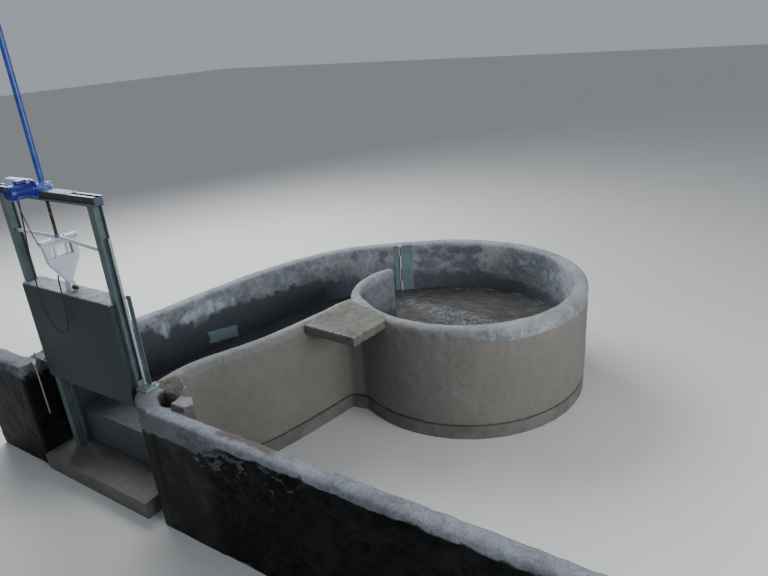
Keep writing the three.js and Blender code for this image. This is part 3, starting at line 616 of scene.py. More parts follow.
# Bank wall
# Low wall on the far side of the gate with the left pier, cast in one and rounded on top. Its rim is
# pale, and below it the face is black with damp.
BANK_NODES = ["bank_wall", "gate_pier_left"]
BANK_DAMP = 1.055
bank = grown_together("bank_wall_and_pier", BANK_NODES, 0.0150, 3)
at = points_of(bank)
facing = facing_of(bank)
reshape(bank, at + facing * (0.006 * lumps(at, 0.20, 4) + 0.002 * lumps(at, 0.05, 2))[:, None])
bank_edge = BANK_DAMP + 0.04 * lumps(at * (1, 1, 0), 0.3)
mark(bank, "damp", np.where(facing[:, 2] < 0.6, bank_edge - at[:, 2], -0.12))
# The whole bank is drawn a little towards its wet tone, as painted shade.
mark(bank, "grime_and_shade", np.full(len(at), 0.10))
mark(bank, "earth", 0.16 * ramp(facing[:, 2], 0.3, 0.8))
bank_concrete = cast_concrete("bank_concrete", colour(140, 144, 152), colour(70, 74, 80),
                              colour(12, 13, 14), colour(84, 80, 76), trowel_and_top_light=(0.5, 1.0), shine=0.10)
cast("bank_wall_and_pier", bank, bank_concrete, *BANK_NODES)


# Loose stones on the broken corner
# Lumps knocked out of the wall lie on its corner: a long one with the grooves of its boards on the
# outer side, and a squared block beside it.
GROOVE_PITCH = 0.018
GROOVE_DEPTH = 0.0060
lump_concrete = cast_concrete("lump_concrete", colour(108, 104, 99), colour(78, 74, 70),
                              colour(58, 55, 52), colour(50, 46, 42), trowel_and_top_light=(0.0, 0.8))
block_concrete = cast_concrete("block_concrete", colour(146, 146, 150), colour(96, 96, 100),
                               colour(44, 42, 40), colour(60, 55, 50), trowel_and_top_light=(0.2, 1.0))


def lump_of_wall(name, corners, grain, finish, grooved=False):
    """A rough lump with these corners, its edges knocked off."""
    body = bmesh.new()
    for corner in corners:
        body.verts.new(corner)
    hull = bmesh.ops.convex_hull(body, input=body.verts[:])
    bmesh.ops.delete(body, geom=list({*hull["geom_interior"], *hull["geom_unused"]}), context="VERTS")
    mesh = skinned(name, body, grain, 2)
    at = points_of(mesh)
    facing = facing_of(mesh)
    out = 0.0060 * lumps(at, 0.045, 4)
    level = (at @ (0.25, -0.10, 1.0)) / GROOVE_PITCH + 0.35 * lumps(at, 0.12, 2)
    groove = grooved * (0.5 + 0.5 * np.cos(2 * math.pi * level)) * ramp(0.95 - facing[:, 2], 0.0, 0.3)
    reshape(mesh, at + facing * (out - GROOVE_DEPTH * groove)[:, None])
    mark(mesh, "damp", np.full(len(at), DRY))
    mark(mesh, "earth", 0.14 + 0.50 * groove)
    # Faces turned down on the squared lump are darkened as painted shade.
    mark(mesh, "grime_and_shade", 0.55 * ramp(-facing[:, 2], -0.7, -0.2) * (1 - grooved))
    cast(name, mesh, finish)


lump_of_wall("grooved_lump", [
    (0.790, 0.045, 1.165), (0.790, 0.170, 1.165), (0.860, 0.235, 1.165), (0.985, 0.190, 1.165),
    (1.085, 0.050, 1.165), (1.075, 0.012, 1.165), (0.960, 0.010, 1.165), (0.800, 0.060, 1.228),
    (0.830, 0.165, 1.262), (0.890, 0.195, 1.280), (0.940, 0.155, 1.276), (1.010, 0.090, 1.252),
    (1.050, 0.040, 1.222), (0.950, 0.022, 1.215)], 0.0045, lump_concrete, grooved=True)
lump_of_wall("squared_lump", [
    (1.150, -0.108, 1.172), (1.130, 0.020, 1.172), (1.240, 0.060, 1.172), (1.345, -0.030, 1.172),
    (1.300, -0.100, 1.172), (1.155, -0.096, 1.238), (1.150, 0.012, 1.246), (1.250, 0.045, 1.246),
    (1.335, -0.026, 1.240), (1.290, -0.090, 1.236)], 0.0055, block_concrete)


# Still water
# Muddy water stands in the channel and the basin, from the gate to the far side. It lies in slow
# rings round the basin's outlet, with foam in front of the tongue.
WATER_TOP = 0.588
CHANNEL_DROP = 0.045
WATER_FOOT = 0.152
WATER_CELL = 0.025
WATER_LAP = 0.035
POOL_SIDE = -0.80
POOL_WIDTH = 4.2
POOL_LENGTH = 4.5
GATE_SIDE = 0.116
count_x = int(POOL_WIDTH / WATER_CELL)
count_y = int(POOL_LENGTH / WATER_CELL)
centres = np.array([(POOL_SIDE + (i + 0.5) * WATER_CELL, GATE_SIDE + (j + 0.5) * WATER_CELL)
                    for i in range(count_x) for j in range(count_y)])
reach = np.minimum(beside(centres, outer_face)[0], beside(centres, near_face)[0])
wet_cells = within(centres, water_plan) | (reach < WATER_LAP)
pool = bmesh.new()
pool_points = {}


def pool_point(i, j, level):
    if (i, j, level) not in pool_points:
        x, y = POOL_SIDE + i * WATER_CELL, GATE_SIDE + j * WATER_CELL
        z = WATER_FOOT
        if level:
            away = math.hypot(x - BASIN_CENTRE.x, y - BASIN_CENTRE.y)
            angle = math.atan2(y - BASIN_CENTRE.y, x - BASIN_CENTRE.x)
            rings = math.sin(34 * away + 1.5 * angle) * 0.0030
            chop = noise.fractal(Vector((x / 0.11, y / 0.20, 0)), 1, 2, 3) * 0.0045
            z = WATER_TOP + rings * min(1, 0.25 + 0.5 * (1.2 - min(away, 1.2))) + chop
            z -= CHANNEL_DROP * min(1, max(0, (3.3 - y) / 0.9)) * min(1, max(0, (1.3 - x) / 0.2))
            z -= 0.030 * math.exp(-(away / 0.30) ** 2)
        pool_points[i, j, level] = pool.verts.new((x, y, z))
    return pool_points[i, j, level]


held = {(k // count_y, k % count_y) for k in np.flatnonzero(wet_cells)}
for i, j in sorted(held):
    corners = [(i, j), (i + 1, j), (i + 1, j + 1), (i, j + 1)]
    pool.faces.new([pool_point(*corner, 1) for corner in corners])
    pool.faces.new([pool_point(*corner, 0) for corner in reversed(corners)])
    for (a, b), (step_x, step_y) in zip(zip(corners, corners[1:] + corners[:1]),
                                        [(0, -1), (1, 0), (0, 1), (-1, 0)]):
        if (i + step_x, j + step_y) not in held:
            pool.faces.new([pool_point(*b, 1), pool_point(*a, 1), pool_point(*a, 0), pool_point(*b, 0)])
water_mesh = bpy.data.meshes.new("still_water")
pool.to_mesh(water_mesh)
pool.free()
water_mesh.shade_smooth()
water_mesh.set_sharp_from_angle(angle=math.radians(50))
at = points_of(water_mesh)
around = np.hypot(at[:, 0] - BASIN_CENTRE.x, at[:, 1] - BASIN_CENTRE.y)
bearing = np.arctan2(at[:, 1] - BASIN_CENTRE.y, at[:, 0] - BASIN_CENTRE.x)


def drift(x, y, half_x, half_y, turned_by=0):
    """Foam that lies thick at a place and thins out round it."""
    angle = math.radians(turned_by)
    u = (at[:, 0] - x) * math.cos(angle) + (at[:, 1] - y) * math.sin(angle)
    v = (at[:, 1] - y) * math.cos(angle) - (at[:, 0] - x) * math.sin(angle)
    return np.exp(-(u / half_x) ** 2 - (v / half_y) ** 2)


foam = [drift(1.75, 3.57, 0.75, 0.13, -3), 0.75 * drift(1.95, 3.40, 0.55, 0.12, -3),
        0.70 * drift(1.20, 3.66, 0.22, 0.16), 0.95 * drift(0.92, 2.20, 0.10, 0.42),
        0.50 * np.exp(-((around - 1.17) / 0.04) ** 2)]
mark(water_mesh, "foam", np.maximum.reduce(foam))
mark(water_mesh, "ring", around)
mark(water_mesh, "arc", bearing * 0.85)
mark(water_mesh, "shade", ramp(3.2 - at[:, 1], 0.0, 0.8) * ramp(1.3 - at[:, 0], 0.0, 0.2))
coat = Finish("muddy_water")
swirl = coat.grain(6, 5, 0.65, stretch=(1.0, 2.6, 1))
ripple = coat.grain(30, 5, 0.62, stretch=(1, 2.2, 1))
flow = coat.add("ShaderNodeCombineXYZ", {0: coat.mark("arc"), 1: coat.mark("ring")}).outputs[0]
drawn = coat.add("ShaderNodeMapping", {"Vector": flow, "Scale": (0.26, 1.0, 1.0)}).outputs[0]
wisps = {"Vector": drawn, "Scale": 25, "Detail": 8, "Roughness": 0.70, "Distortion": 1.1}
streak = coat.add("ShaderNodeTexNoise", wisps).outputs["Fac"]
mud = coat.mix(coat.range(swirl, 0.3, 0.7), colour(74, 74, 73), colour(104, 102, 98))
mud = coat.mix(coat.mark("shade"), mud, colour(90, 94, 97))
froth = coat.range(coat.stirred(coat.mark("foam"), swirl, 1.2), 0.12, 0.78)
froth = coat.times(froth, coat.range(streak, 0.43, 0.68))
surface = coat.mix(coat.times(froth, 0.85), mud, colour(164, 170, 178))
wave = coat.relief(swirl, 0.060)
wave = coat.relief(ripple, 0.020, wave)
wave = coat.relief(streak, 0.012, wave)
gloss = coat.maths("MAXIMUM", coat.between(froth, 0.12, 0.60), coat.times(coat.mark("shade"), 0.55))
water = piece("still_water", water_mesh)
water.data.materials.append(coat.close(surface, gloss, wave, IOR=1.33))
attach(water, "root")


# Portal
# Two rolled columns in weathered grey-green paint are set in the piers, with twin channels across
# their heads whose paint is darkened as painted shade of their recesses, their upward faces paled as
# painted sky light. The flat bar and the plates are paler, except the left foot plate, which is
# darkened as painted shade.
RUST = colour(92, 58, 38)
DUST_AND_SKY_LIGHT = colour(186, 194, 204)


def steel_paint(name, tone, worn, rust=0.35, gloss=0.42, metallic=0.0, dust_and_light=0.5, spread=5.0):
    """Paint on steel with faded clouds, dirt that ran down, a few rust spots and dust on top, the dust
    also painted sky light.
    """
    coat = Finish(name)
    clouds = coat.grain(spread, 5, 0.6)
    runs = coat.grain(28, 5, 0.6, stretch=(1, 1, 0.06))
    scuffs = coat.grain(46, 6, 0.72)
    fine = coat.grain(260, 3, 0.6)
    body = coat.mix(coat.range(clouds, 0.32, 0.70), tone, worn)
    body = coat.mix(coat.times(coat.range(runs, 0.52, 0.78), 0.30), body, shaded(tone, 0.55))
    body = coat.mix(coat.times(coat.range(scuffs, 0.60, 0.70), 0.35), body, worn)
    body = coat.mix(coat.times(coat.range(scuffs, 0.665, 0.72), rust), body, RUST)
    # Faces turned up take pale dust, partly dust and partly painted sky light.
    lying = coat.range(coat.upward, 0.55, 0.95)
    body = coat.mix(coat.times(lying, coat.between(clouds, dust_and_light, dust_and_light + 0.25)), body, DUST_AND_SKY_LIGHT)
    rough = coat.between(coat.range(clouds, 0.3, 0.7), gloss, gloss + 0.16)
    relief = coat.relief(scuffs, 0.0007, coat.relief(fine, 0.0004))
    return coat.close(body, rough, relief, Metallic=metallic, Specular_IOR_Level=0.45)


gate_green = steel_paint("gate_green", colour(76, 92, 95), colour(96, 112, 114))
# The channels' paint is darkened as painted shade of their recesses, and their upward faces take more
# pale dust and painted sky light.
beam_green_in_shade = steel_paint("beam_green_in_shade", colour(38, 49, 56), colour(56, 67, 74), dust_and_light=0.75)
plate_green = steel_paint("plate_green", colour(92, 110, 113), colour(124, 142, 145), rust=0.5,
                          gloss=0.72, dust_and_light=0.0)
shaded_plate = steel_paint("shaded_plate", colour(58, 62, 68), colour(78, 82, 88), rust=0.5,
                           gloss=0.80, dust_and_light=0.0)
pale_steel = steel_paint("pale_steel", colour(132, 144, 152), colour(160, 171, 179), rust=0.5,
                         gloss=0.62, dust_and_light=0.1)
bare_bolt = steel_paint("zinc_bolt", colour(112, 116, 120), colour(146, 148, 150), rust=0.9,
                        gloss=0.62, metallic=0.4, dust_and_light=0.0)


def crisp(node, finish, width=0.0012):
    """A solid of the frame as it is, with its sharp edges broken and its finish on it."""
    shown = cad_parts[node]
    shown.data.materials.clear()
    shown.data.materials.append(finish)
    weld = shown.modifiers.new("weld", "WELD")
    weld.merge_threshold = 0.00005
    broken = shown.modifiers.new("edges", "BEVEL")
    broken.width = width
    broken.segments = 2
    broken.limit_method = "ANGLE"
    broken.angle_limit = math.radians(40)


for node, finish, width in (
        ("column_right", gate_green, 0.0020), ("column_left", gate_green, 0.0020),
        ("rear_post", gate_green, 0.0020), ("head_beam_front", beam_green_in_shade, 0.0022),
        ("head_beam_rear", beam_green_in_shade, 0.0022), ("side_bar", pale_steel, 0.0015),
        ("drive_plate", pale_steel, 0.0015), ("base_plate_right", plate_green, 0.0015),
        ("base_plate_left", shaded_plate, 0.0015)):
    crisp(node, finish, width)


def loft(body, rings):
    """Skin over rings of equally many points, given one after the other, closed at both ends."""
    made = [[body.verts.new(p) for p in ring] for ring in rings]
    for lower, upper in zip(made, made[1:]):
        for k in range(len(lower)):
            body.faces.new([lower[k - 1], lower[k], upper[k], upper[k - 1]])
    body.faces.new(list(reversed(made[0])))
    body.faces.new(made[-1])


UP = (0, 0, 1)
ACROSS = (1, 0, 0)
BACK = (0, 1, 0)
FORWARD = (0, -1, 0)


def turned(body, profile, place, axis, sides=32, spin=0.0):
    """A turned part: distance along the axis and radius at each step of its profile."""
    to_axis = Vector(UP).rotation_difference(Vector(axis)).to_matrix()
    rings = []
    for along, radius in profile:
        rings.append([Vector(place) + to_axis @ Vector((
            radius * math.cos(spin + 2 * math.pi * k / sides),
            radius * math.sin(spin + 2 * math.pi * k / sides), along)) for k in range(sides)])
    loft(body, rings)


def bolt(body, place, axis, across, washer=True, stud=0.0):
    """A hexagon head on its washer, with the end of its thread where it is a nut."""
    up = Vector(axis).normalized()
    foot = Vector(place)
    if washer:
        thick = across * 0.12
        turned(body, [(0, across * 0.92), (thick * 0.8, across * 0.92), (thick, across * 0.86)],
               foot, axis, 20)
        foot = foot + up * thick
    turned(body, [(0, across * 0.577), (across * 0.50, across * 0.577), (across * 0.58, across * 0.50)],
           foot, axis, 6, 0.3)
    if stud:
        turned(body, [(0, across * 0.30), (stud - 0.001, across * 0.30), (stud, across * 0.26)],
               foot + up * across * 0.55, axis, 14)


def built(name, body, finish, rides_on, slot, *stands_for, sharp=35):
    """A finished piece from its mesh under construction."""
    bmesh.ops.recalc_face_normals(body, faces=body.faces[:])
    mesh = bpy.data.meshes.new(name)
    body.to_mesh(mesh)
    body.free()
    mesh.shade_smooth()
    mesh.set_sharp_from_angle(angle=math.radians(sharp))
    mesh.materials.append(finish)
    made = piece(name, mesh)
    if rides_on:
        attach(made, rides_on)
    if stands_for:
        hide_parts(*stands_for)
    return made


# Plates that close the ends of the twin channels, between their flanges
END_PLATE = 0.003
END_GAP = 0.0003
FLANGE = 0.009
end_paint = steel_paint("end_paint", colour(56, 68, 88), colour(74, 86, 108))
beam_low, beam_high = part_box("head_beam_front")
front_y = beam_low.y + 0.004
rear_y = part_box("head_beam_rear")[1].y - 0.016
section = [(front_y, beam_low.z + FLANGE), (rear_y, beam_low.z + FLANGE),
           (rear_y, beam_high.z - FLANGE), (front_y, beam_high.z - FLANGE)]
ends = bmesh.new()
for x0 in (beam_low.x - END_PLATE - END_GAP, beam_high.x + END_GAP):
    loft(ends, [[(x, y, z) for y, z in section] for x in (x0, x0 + END_PLATE)])
built("channel_end_plates", ends, end_paint, "root", "gate_green")

# Anchor bolts of the two foot plates, and the bolts that hold the drive's plate to the channels
ANCHOR = 0.019
left_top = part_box("base_plate_left")[1].z
right_top = WALL_TOP + 0.007
anchors = bmesh.new()
for x, y, z in ((0.785, -0.045, right_top), (0.785, 0.042, right_top), (0.705, -0.050, right_top),
                (-0.945, -0.035, left_top), (-0.945, 0.042, left_top), (-0.760, -0.040, left_top),
                (-0.760, 0.042, left_top)):
    bolt(anchors, (x, y, z), UP, ANCHOR, stud=0.016)
built("anchor_bolts", anchors, bare_bolt, "root", "pale_steel")
plate_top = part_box("drive_plate")[1].z
plate_bolts = bmesh.new()
for x in (-0.105, 0.110, 0.345):
    for y in (-0.036, 0.036):
        bolt(plate_bolts, (x, y, plate_top), UP, 0.009)
built("head_bolts", plate_bolts, bare_bolt, "root", "pale_steel")


def weld_bead(body, start, end, radius, seed):
    """A rippled bead of weld from one point to another."""
    start, end = Vector(start), Vector(end)
    along = end - start
    steps = max(4, int(along.length / (radius * 0.7)))
    frame_z = along.normalized()
    side = frame_z.orthogonal().normalized()
    other = frame_z.cross(side)
    dice = random.Random(seed)
    rings = []
    for k in range(steps + 1):
        r = radius * (1 + 0.16 * math.sin(k * 2.1) + dice.uniform(-0.08, 0.08))
        r *= 0.45 if k in (0, steps) else 1.0
        centre = start + along * (k / steps)
        rings.append([centre + r * (math.cos(a) * side + math.sin(a) * other)
                      for a in (2 * math.pi * n / 8 for n in range(8))])
    loft(body, rings)


# Beads where the columns meet the channels and the foot plate
COLUMN_HALF = 0.040
beam_foot = beam_low.z
beads = bmesh.new()
for side in (-1, 1):
    for y in (-COLUMN_HALF, COLUMN_HALF):
        weld_bead(beads, (side * 0.602, y, beam_foot), (side * 0.674, y, beam_foot), 0.0035, 3)
for y in (-COLUMN_HALF, COLUMN_HALF):
    weld_bead(beads, (0.678, y, right_top), (0.678, -y * 0.2, right_top), 0.0040, 5)
built("portal_welds", beads, gate_green, "root", "gate_green")


# Gate leaf
# A plate of steel folded back at its top edge, stiffened behind by three angle ribs that run in
# front of and behind the columns. Its paint is darkened as painted shade on its face. The top plate
# is pale with dust and water stains, and paler still as painted sky light.
# The leaf's paint is darker than the columns', as painted shade on its face.
leaf_green_in_shade = steel_paint("leaf_green_in_shade", colour(20, 35, 37), colour(36, 51, 56), rust=0.2,
                         gloss=0.50, spread=1.7)
for node in ("leaf_skin", "leaf_rib_1", "leaf_rib_2", "leaf_rib_3"):
    crisp(node, leaf_green_in_shade)
# The top plate is paled as painted sky light on it, besides its dust and water stains.
coat = Finish("stained_sky_lit_plate")
stains = coat.grain(9, 6, 0.65)
rings = coat.grain(30, 5, 0.6)
plate = coat.mix(coat.range(stains, 0.35, 0.62), colour(96, 103, 110), colour(142, 149, 157))
plate = coat.mix(coat.times(coat.range(rings, 0.55, 0.68), 0.45), plate, colour(98, 100, 100))
stained_sky_lit_plate = coat.close(plate, coat.between(stains, 0.66, 0.85), coat.relief(rings, 0.0006),
                           Specular_IOR_Level=0.4)
crisp("leaf_top_plate", stained_sky_lit_plate, 0.0015)

skin_low, skin_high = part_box("leaf_skin")
beads = bmesh.new()
for k in range(9):
    x = -0.56 + k * 0.14
    weld_bead(beads, (x, skin_low.y, skin_high.z), (x + 0.035, skin_low.y, skin_high.z), 0.003, k)
built("leaf_welds", beads, leaf_green_in_shade, "leaf", "gate_green")


# Lugs, pin and hoist bracket
# Two white lugs on the leaf take a pin. A V-shaped bracket folded from white sheet hangs on the
# stem with a window below its head, where two cream guide posts stand, and its tongue takes the pin.
white_paint = steel_paint("white_paint", colour(198, 206, 222), colour(220, 226, 236), rust=0.5,
                          gloss=0.38)
cream = steel_paint("cream_paint", colour(206, 202, 184), colour(224, 220, 206), rust=0.2)
plate_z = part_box("leaf_top_plate")[1].z
PIN_Z = plate_z + 0.030
LUG_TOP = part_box("clevis")[1].z


def flat_part(body, outline, place, thick, along, up=UP):
    """A plate of this outline, its edges broken a little. Each point is given along, then up."""
    along, up = Vector(along), Vector(up)
    out = along.cross(up)
    edge = min(0.0012, thick / 4)
    area = sum(outline[k - 1][0] * outline[k][1] - outline[k][0] * outline[k - 1][1]
               for k in range(len(outline)))
    ring = outline if area > 0 else outline[::-1]
    inner = []
    for k, (u, v) in enumerate(ring):
        before, after = ring[k - 1], ring[(k + 1) % len(ring)]
        d1 = Vector((u - before[0], v - before[1])).normalized()
        d2 = Vector((after[0] - u, after[1] - v)).normalized()
        inward = Vector((-d1.y - d2.y, d1.x + d2.x))
        inward = inward.normalized() if inward.length > 1e-6 else Vector((-d1.y, d1.x))
        inner.append((u + inward.x * edge, v + inward.y * edge))
    levels = [(inner, -thick / 2), (ring, edge - thick / 2), (ring, thick / 2 - edge), (inner, thick / 2)]
    rings = [[Vector(place) + along * u + up * v + out * w for u, v in line] for line, w in levels]
    loft(body, rings)


def rounded_top(half, foot, top, steps=10):
    """Outline of a lug: straight sides, a half round on top."""
    arc = [(half * math.cos(math.pi * k / steps), top - half + half * math.sin(math.pi * k / steps))
           for k in range(steps + 1)]
    return [(half, foot), *arc, (-half, foot)]


def strip(half, top, foot=0.0):
    """Outline of a plain strip, as wide to both sides of its middle."""
    return [(-half, foot), (half, foot), (half, top), (-half, top)]


LUG_X = 0.034
LUG_THICK = 0.012
lugs = bmesh.new()
for x in (-LUG_X, LUG_X):
    flat_part(lugs, rounded_top(0.028, 0.0, LUG_TOP - plate_z), (x, 0, plate_z), LUG_THICK, BACK)
flat_part(lugs, strip(0.040, 0.006), (0, 0, plate_z), 0.072, ACROSS)
weld_z = plate_z + 0.007
for x in (-LUG_X, LUG_X):
    for side in (-1, 1):
        weld_x = x + side * 0.007
        weld_bead(lugs, (weld_x, -0.027, weld_z), (weld_x, 0.027, weld_z), 0.0030, 8)
built("leaf_lugs", lugs, white_paint, "leaf", "white_paint", "clevis")

coat = Finish("greased_steel")
grease = coat.grain(60, 5, 0.65)
shine = coat.mix(coat.range(grease, 0.4, 0.65), colour(40, 34, 30), colour(96, 88, 80))
greased_steel = coat.close(shine, coat.between(grease, 0.22, 0.50), coat.relief(grease, 0.0008),
                           Metallic=0.75)
pin = bmesh.new()
turned(pin, [(0, 0.009), (0.002, 0.011), (0.150, 0.011), (0.156, 0.008)], (-0.052, 0, PIN_Z),
       ACROSS, 20)
for start, size in ((0.0415, 0.0200), (0.0620, 0.0185)):
    turned(pin, [(0, size - 0.002), (0.002, size), (0.0165, size), (0.0190, size - 0.003)],
           (start, 0, PIN_Z), ACROSS, 6, 0.25)
turned(pin, [(0, 0.017), (0.0025, 0.019), (0.008, 0.019), (0.010, 0.016)], (-0.0505, 0, PIN_Z),
       ACROSS, 6)
built("hinge_pin_and_nuts", pin, greased_steel, "leaf", "greased_steel", "clevis_pin")

# The bracket's face from its head down: straight sides, shoulders, the V and the tongue's neck
HEAD_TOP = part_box("hoist_bracket")[1].z
HEAD_FOOT = HEAD_TOP - 0.042
HEAD_HALF = 0.150
SHOULDER = (0.136, 2.276)
NECK = (0.026, 2.095)
TONGUE_FOOT = plate_z + 0.008
SHEET = 0.005
SHEET_X = 0.0215
WINDOW = (0.097, 2.313, 2.408)
WINDOW_CORNER = 0.006


def mirrored(outline):
    return [(-u, v) for u, v in reversed(outline)]


def sheet_with_window(body, x):
    """One face of the bracket: strips round the window, below it the V down to the tongue."""
    half, low, high = WINDOW

    def side(z):
        return SHOULDER[0] + (HEAD_HALF - SHOULDER[0]) * (z - SHOULDER[1]) / (HEAD_FOOT - SHOULDER[1])

    below = [(NECK[0], TONGUE_FOOT), NECK, SHOULDER, (side(low), low)]
    inner = half - WINDOW_CORNER
    left = [(-side(high), high), (-side(low), low), (-half, low), (-inner, low + WINDOW_CORNER),
            (-inner, high - WINDOW_CORNER), (-half, high)]
    above = [(side(high), high), (HEAD_HALF, HEAD_FOOT)]
    for outline in (mirrored(below) + below, left, mirrored(left), mirrored(above) + above):
        flat_part(body, outline, (x, 0, 0), SHEET, BACK)


hanger = bmesh.new()
for x in (-SHEET_X, SHEET_X):
    sheet_with_window(hanger, x)
edge = [(HEAD_HALF, HEAD_FOOT), SHOULDER, NECK, (NECK[0], TONGUE_FOOT)]
for (u0, v0), (u1, v1) in zip(edge, edge[1:]):
    for side in (1, -1):
        along = Vector((0, side * (u0 - u1), v0 - v1))
        flat_part(hanger, strip(0.019, along.length), (0, side * (u1 - 0.003), v1), 0.004, ACROSS,
                  along.normalized())
flat_part(hanger, strip(0.0205, 2.112, 2.012), (0, 0, 0), 0.047, ACROSS)
built("hoist_bracket_sheet", hanger, white_paint, "leaf", "white_paint", "hoist_bracket")

# Its head: two flanges with a web between them and a plate at each end
HEAD_FLANGE = 0.009
head = bmesh.new()
for low, wide in ((HEAD_FOOT, 0.064), (HEAD_TOP - HEAD_FLANGE, 0.060)):
    flat_part(head, strip(0.162, HEAD_FLANGE), (0, 0, low), wide, BACK)
flat_part(head, strip(0.158, 0.024), (0.004, 0, HEAD_FOOT + HEAD_FLANGE), 0.020, BACK)
for y in (-0.150, 0.150):
    flat_part(head, strip(0.030, 0.025), (0, y, HEAD_FOOT + 0.0085), 0.012, ACROSS)
built("hoist_bracket_head", head, white_paint, "leaf", "white_paint")
POST_FOOT = 2.309
post = [(0, 0.013), (0.006, 0.016), (0.012, 0.012), (0.100, 0.012), (0.106, 0.016),
        (0.114, 0.016), (0.120, 0.012)]
posts = bmesh.new()
for y in (-0.052, 0.052):
    turned(posts, post, (0, y, POST_FOOT), UP, 20)
built("guide_posts", posts, cream, "leaf", "white_paint")
fittings = bmesh.new()
turned(fittings, [(0, 0.026), (0.004, 0.027), (0.006, 0.024)], (0, 0, HEAD_TOP), UP, 24)
turned(fittings, [(0, 0.0195), (0.002, 0.0215), (0.015, 0.0215), (0.017, 0.0195)],
       (0, 0, HEAD_TOP + 0.006), UP, 6)
for y in (-0.048, 0.050):
    bolt(fittings, (0.010, y, HEAD_TOP), UP, 0.010, stud=0.004)
built("bracket_fittings", fittings, bare_bolt, "leaf", "greased_steel")
for node in ("guide_arm_left", "guide_arm_right"):
    crisp(node, white_paint, 0.0010)


# Stem
# Round steel bar of 28 mm with a trapezoidal thread along its whole length, dark with grease. It
# carries the bracket and the leaf, and rises through the gear into the blue pipe.
stem_low, stem_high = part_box("stem")
STEM_RADIUS = 0.0138
THREAD_PITCH = 0.006
THREAD_DEPTH = 0.0017
STEM_SIDES = 16
rows = int((stem_high.z - stem_low.z) / (THREAD_PITCH / 4))
rings = []
for row in range(rows + 1):
    z = stem_low.z + (stem_high.z - stem_low.z) * row / rows
    ring = []
    for k in range(STEM_SIDES):
        share = (z / THREAD_PITCH - k / STEM_SIDES) % 1.0
        flank = max(-1, min(1, 1.6 * math.cos(2 * math.pi * share)))
        r = STEM_RADIUS - THREAD_DEPTH * (0.5 + 0.5 * flank)
        angle = 2 * math.pi * k / STEM_SIDES
        ring.append((r * math.cos(angle), r * math.sin(angle), z))
    rings.append(ring)
spindle = bmesh.new()
loft(spindle, rings)
built("threaded_stem", spindle, greased_steel, "leaf", "greased_steel", "stem", sharp=80)


# Drive
# A blue motor with its fan cover and terminal box lies across the channels and drives a worm gear
# round the stem, in a lighter blue casting. A blue pipe over the gear covers the rising stem.
def enamel(name, tone, bright, gloss=0.30):
    """Thick glossy paint on cast metal, a little clouded and chipped."""
    coat = Finish(name)
    clouds = coat.grain(12, 5, 0.6)
    pitted = coat.grain(150, 4, 0.6)
    body = coat.mix(coat.range(clouds, 0.35, 0.68), tone, bright)
    chips = coat.range(coat.grain(70, 6, 0.75), 0.66, 0.70)
    body = coat.mix(coat.times(chips, 0.5), body, colour(70, 72, 78))
    rough = coat.between(clouds, gloss, gloss + 0.18)
    return coat.close(body, rough, coat.relief(pitted, 0.0006), Coat_Weight=0.25, Coat_Roughness=0.2)


motor_blue = enamel("motor_blue", colour(5, 17, 104), colour(12, 34, 150))
box_blue = enamel("terminal_blue", colour(18, 36, 118), colour(28, 52, 146))
gear_blue = enamel("gear_blue", colour(74, 112, 174), colour(108, 146, 198), 0.36)
pipe_blue = enamel("pipe_blue", colour(26, 58, 140), colour(44, 84, 168), 0.32)
fan_low, fan_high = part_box("motor_fan_cover")
AXLE_X = 0.020
AXLE_Z = (fan_low.z + fan_high.z) / 2
MOTOR_RADIUS = 0.062
FIN_DEPTH = 0.0042
FIN_COUNT = 30
FLANGE_FRONT = -0.108


def bolt_circle(body, count, start, radius, size, centre, axis):
    """Bolts without washers, evenly round an upright axis or one that lies front to back."""
    for k in range(count):
        angle = math.radians(start + 360 / count * k)
        u, v = radius * math.cos(angle), radius * math.sin(angle)
        offset = (u, v, 0) if axis == UP else (u, 0, v)
        bolt(body, Vector(centre) + Vector(offset), axis, size, washer=False)


motor = bmesh.new()
rings = []
for y, depth in ((-0.2500, 0.0045), (-0.2460, 0.0), (-0.1240, 0.0), (-0.1200, 0.0045)):
    ring = []
    for k in range(FIN_COUNT * 4):
        angle = 2 * math.pi * k / (FIN_COUNT * 4)
        between_fins = k % 4 in (2, 3) and depth == 0.0
        r = MOTOR_RADIUS - FIN_DEPTH * between_fins - depth
        ring.append((AXLE_X + r * math.cos(angle), y, AXLE_Z + r * math.sin(angle)))
    rings.append(ring)
loft(motor, rings)
turned(motor, [(0, 0.0585), (0.006, 0.0615), (0.011, 0.0615), (0.012, 0.058), (0.0135, 0.072),
               (0.017, 0.074), (0.0280, 0.074), (0.0310, 0.072)], (AXLE_X, -0.1200, AXLE_Z), BACK, 48)
bolt_circle(motor, 4, 45, 0.0665, 0.008, (AXLE_X, FLANGE_FRONT + 0.004, AXLE_Z), FORWARD)
# Two glands under the motor, which the cables leave
GLAND_FOOT = 2.830
for x, y, size in ((-0.012, -0.215, 0.012), (0.010, -0.234, 0.008)):
    turned(motor, [(0, size * 0.72), (0.003, size * 0.95), (0.012, size), (0.013, size * 0.8),
                   (0.016, size * 0.8), (0.017, size), (0.040, size)], (x, y, GLAND_FOOT), UP, 16)
built("finned_motor", motor, motor_blue, "root", "drive_blue", "motor_body")
cover = bmesh.new()
turned(cover, [(0, 0.0), (0.0005, 0.030), (0.0, 0.046), (0.004, 0.0545), (0.012, 0.0590),
               (0.037, 0.0600), (0.0440, 0.0600), (0.0445, 0.0575)],
       (AXLE_X, fan_low.y + 0.0030, AXLE_Z), BACK, 48)
for middle in (0.014, 0.024, 0.034, 0.044):
    inner, outer = middle - 0.0016, middle + 0.0016
    turned(cover, [(0, inner), (0.0030, inner), (0.0035, middle), (0.0030, outer), (0, outer)],
           (AXLE_X, fan_low.y + 0.0036, AXLE_Z), FORWARD, 40)
built("fan_cover", cover, motor_blue, "root", "drive_blue", "motor_fan_cover")


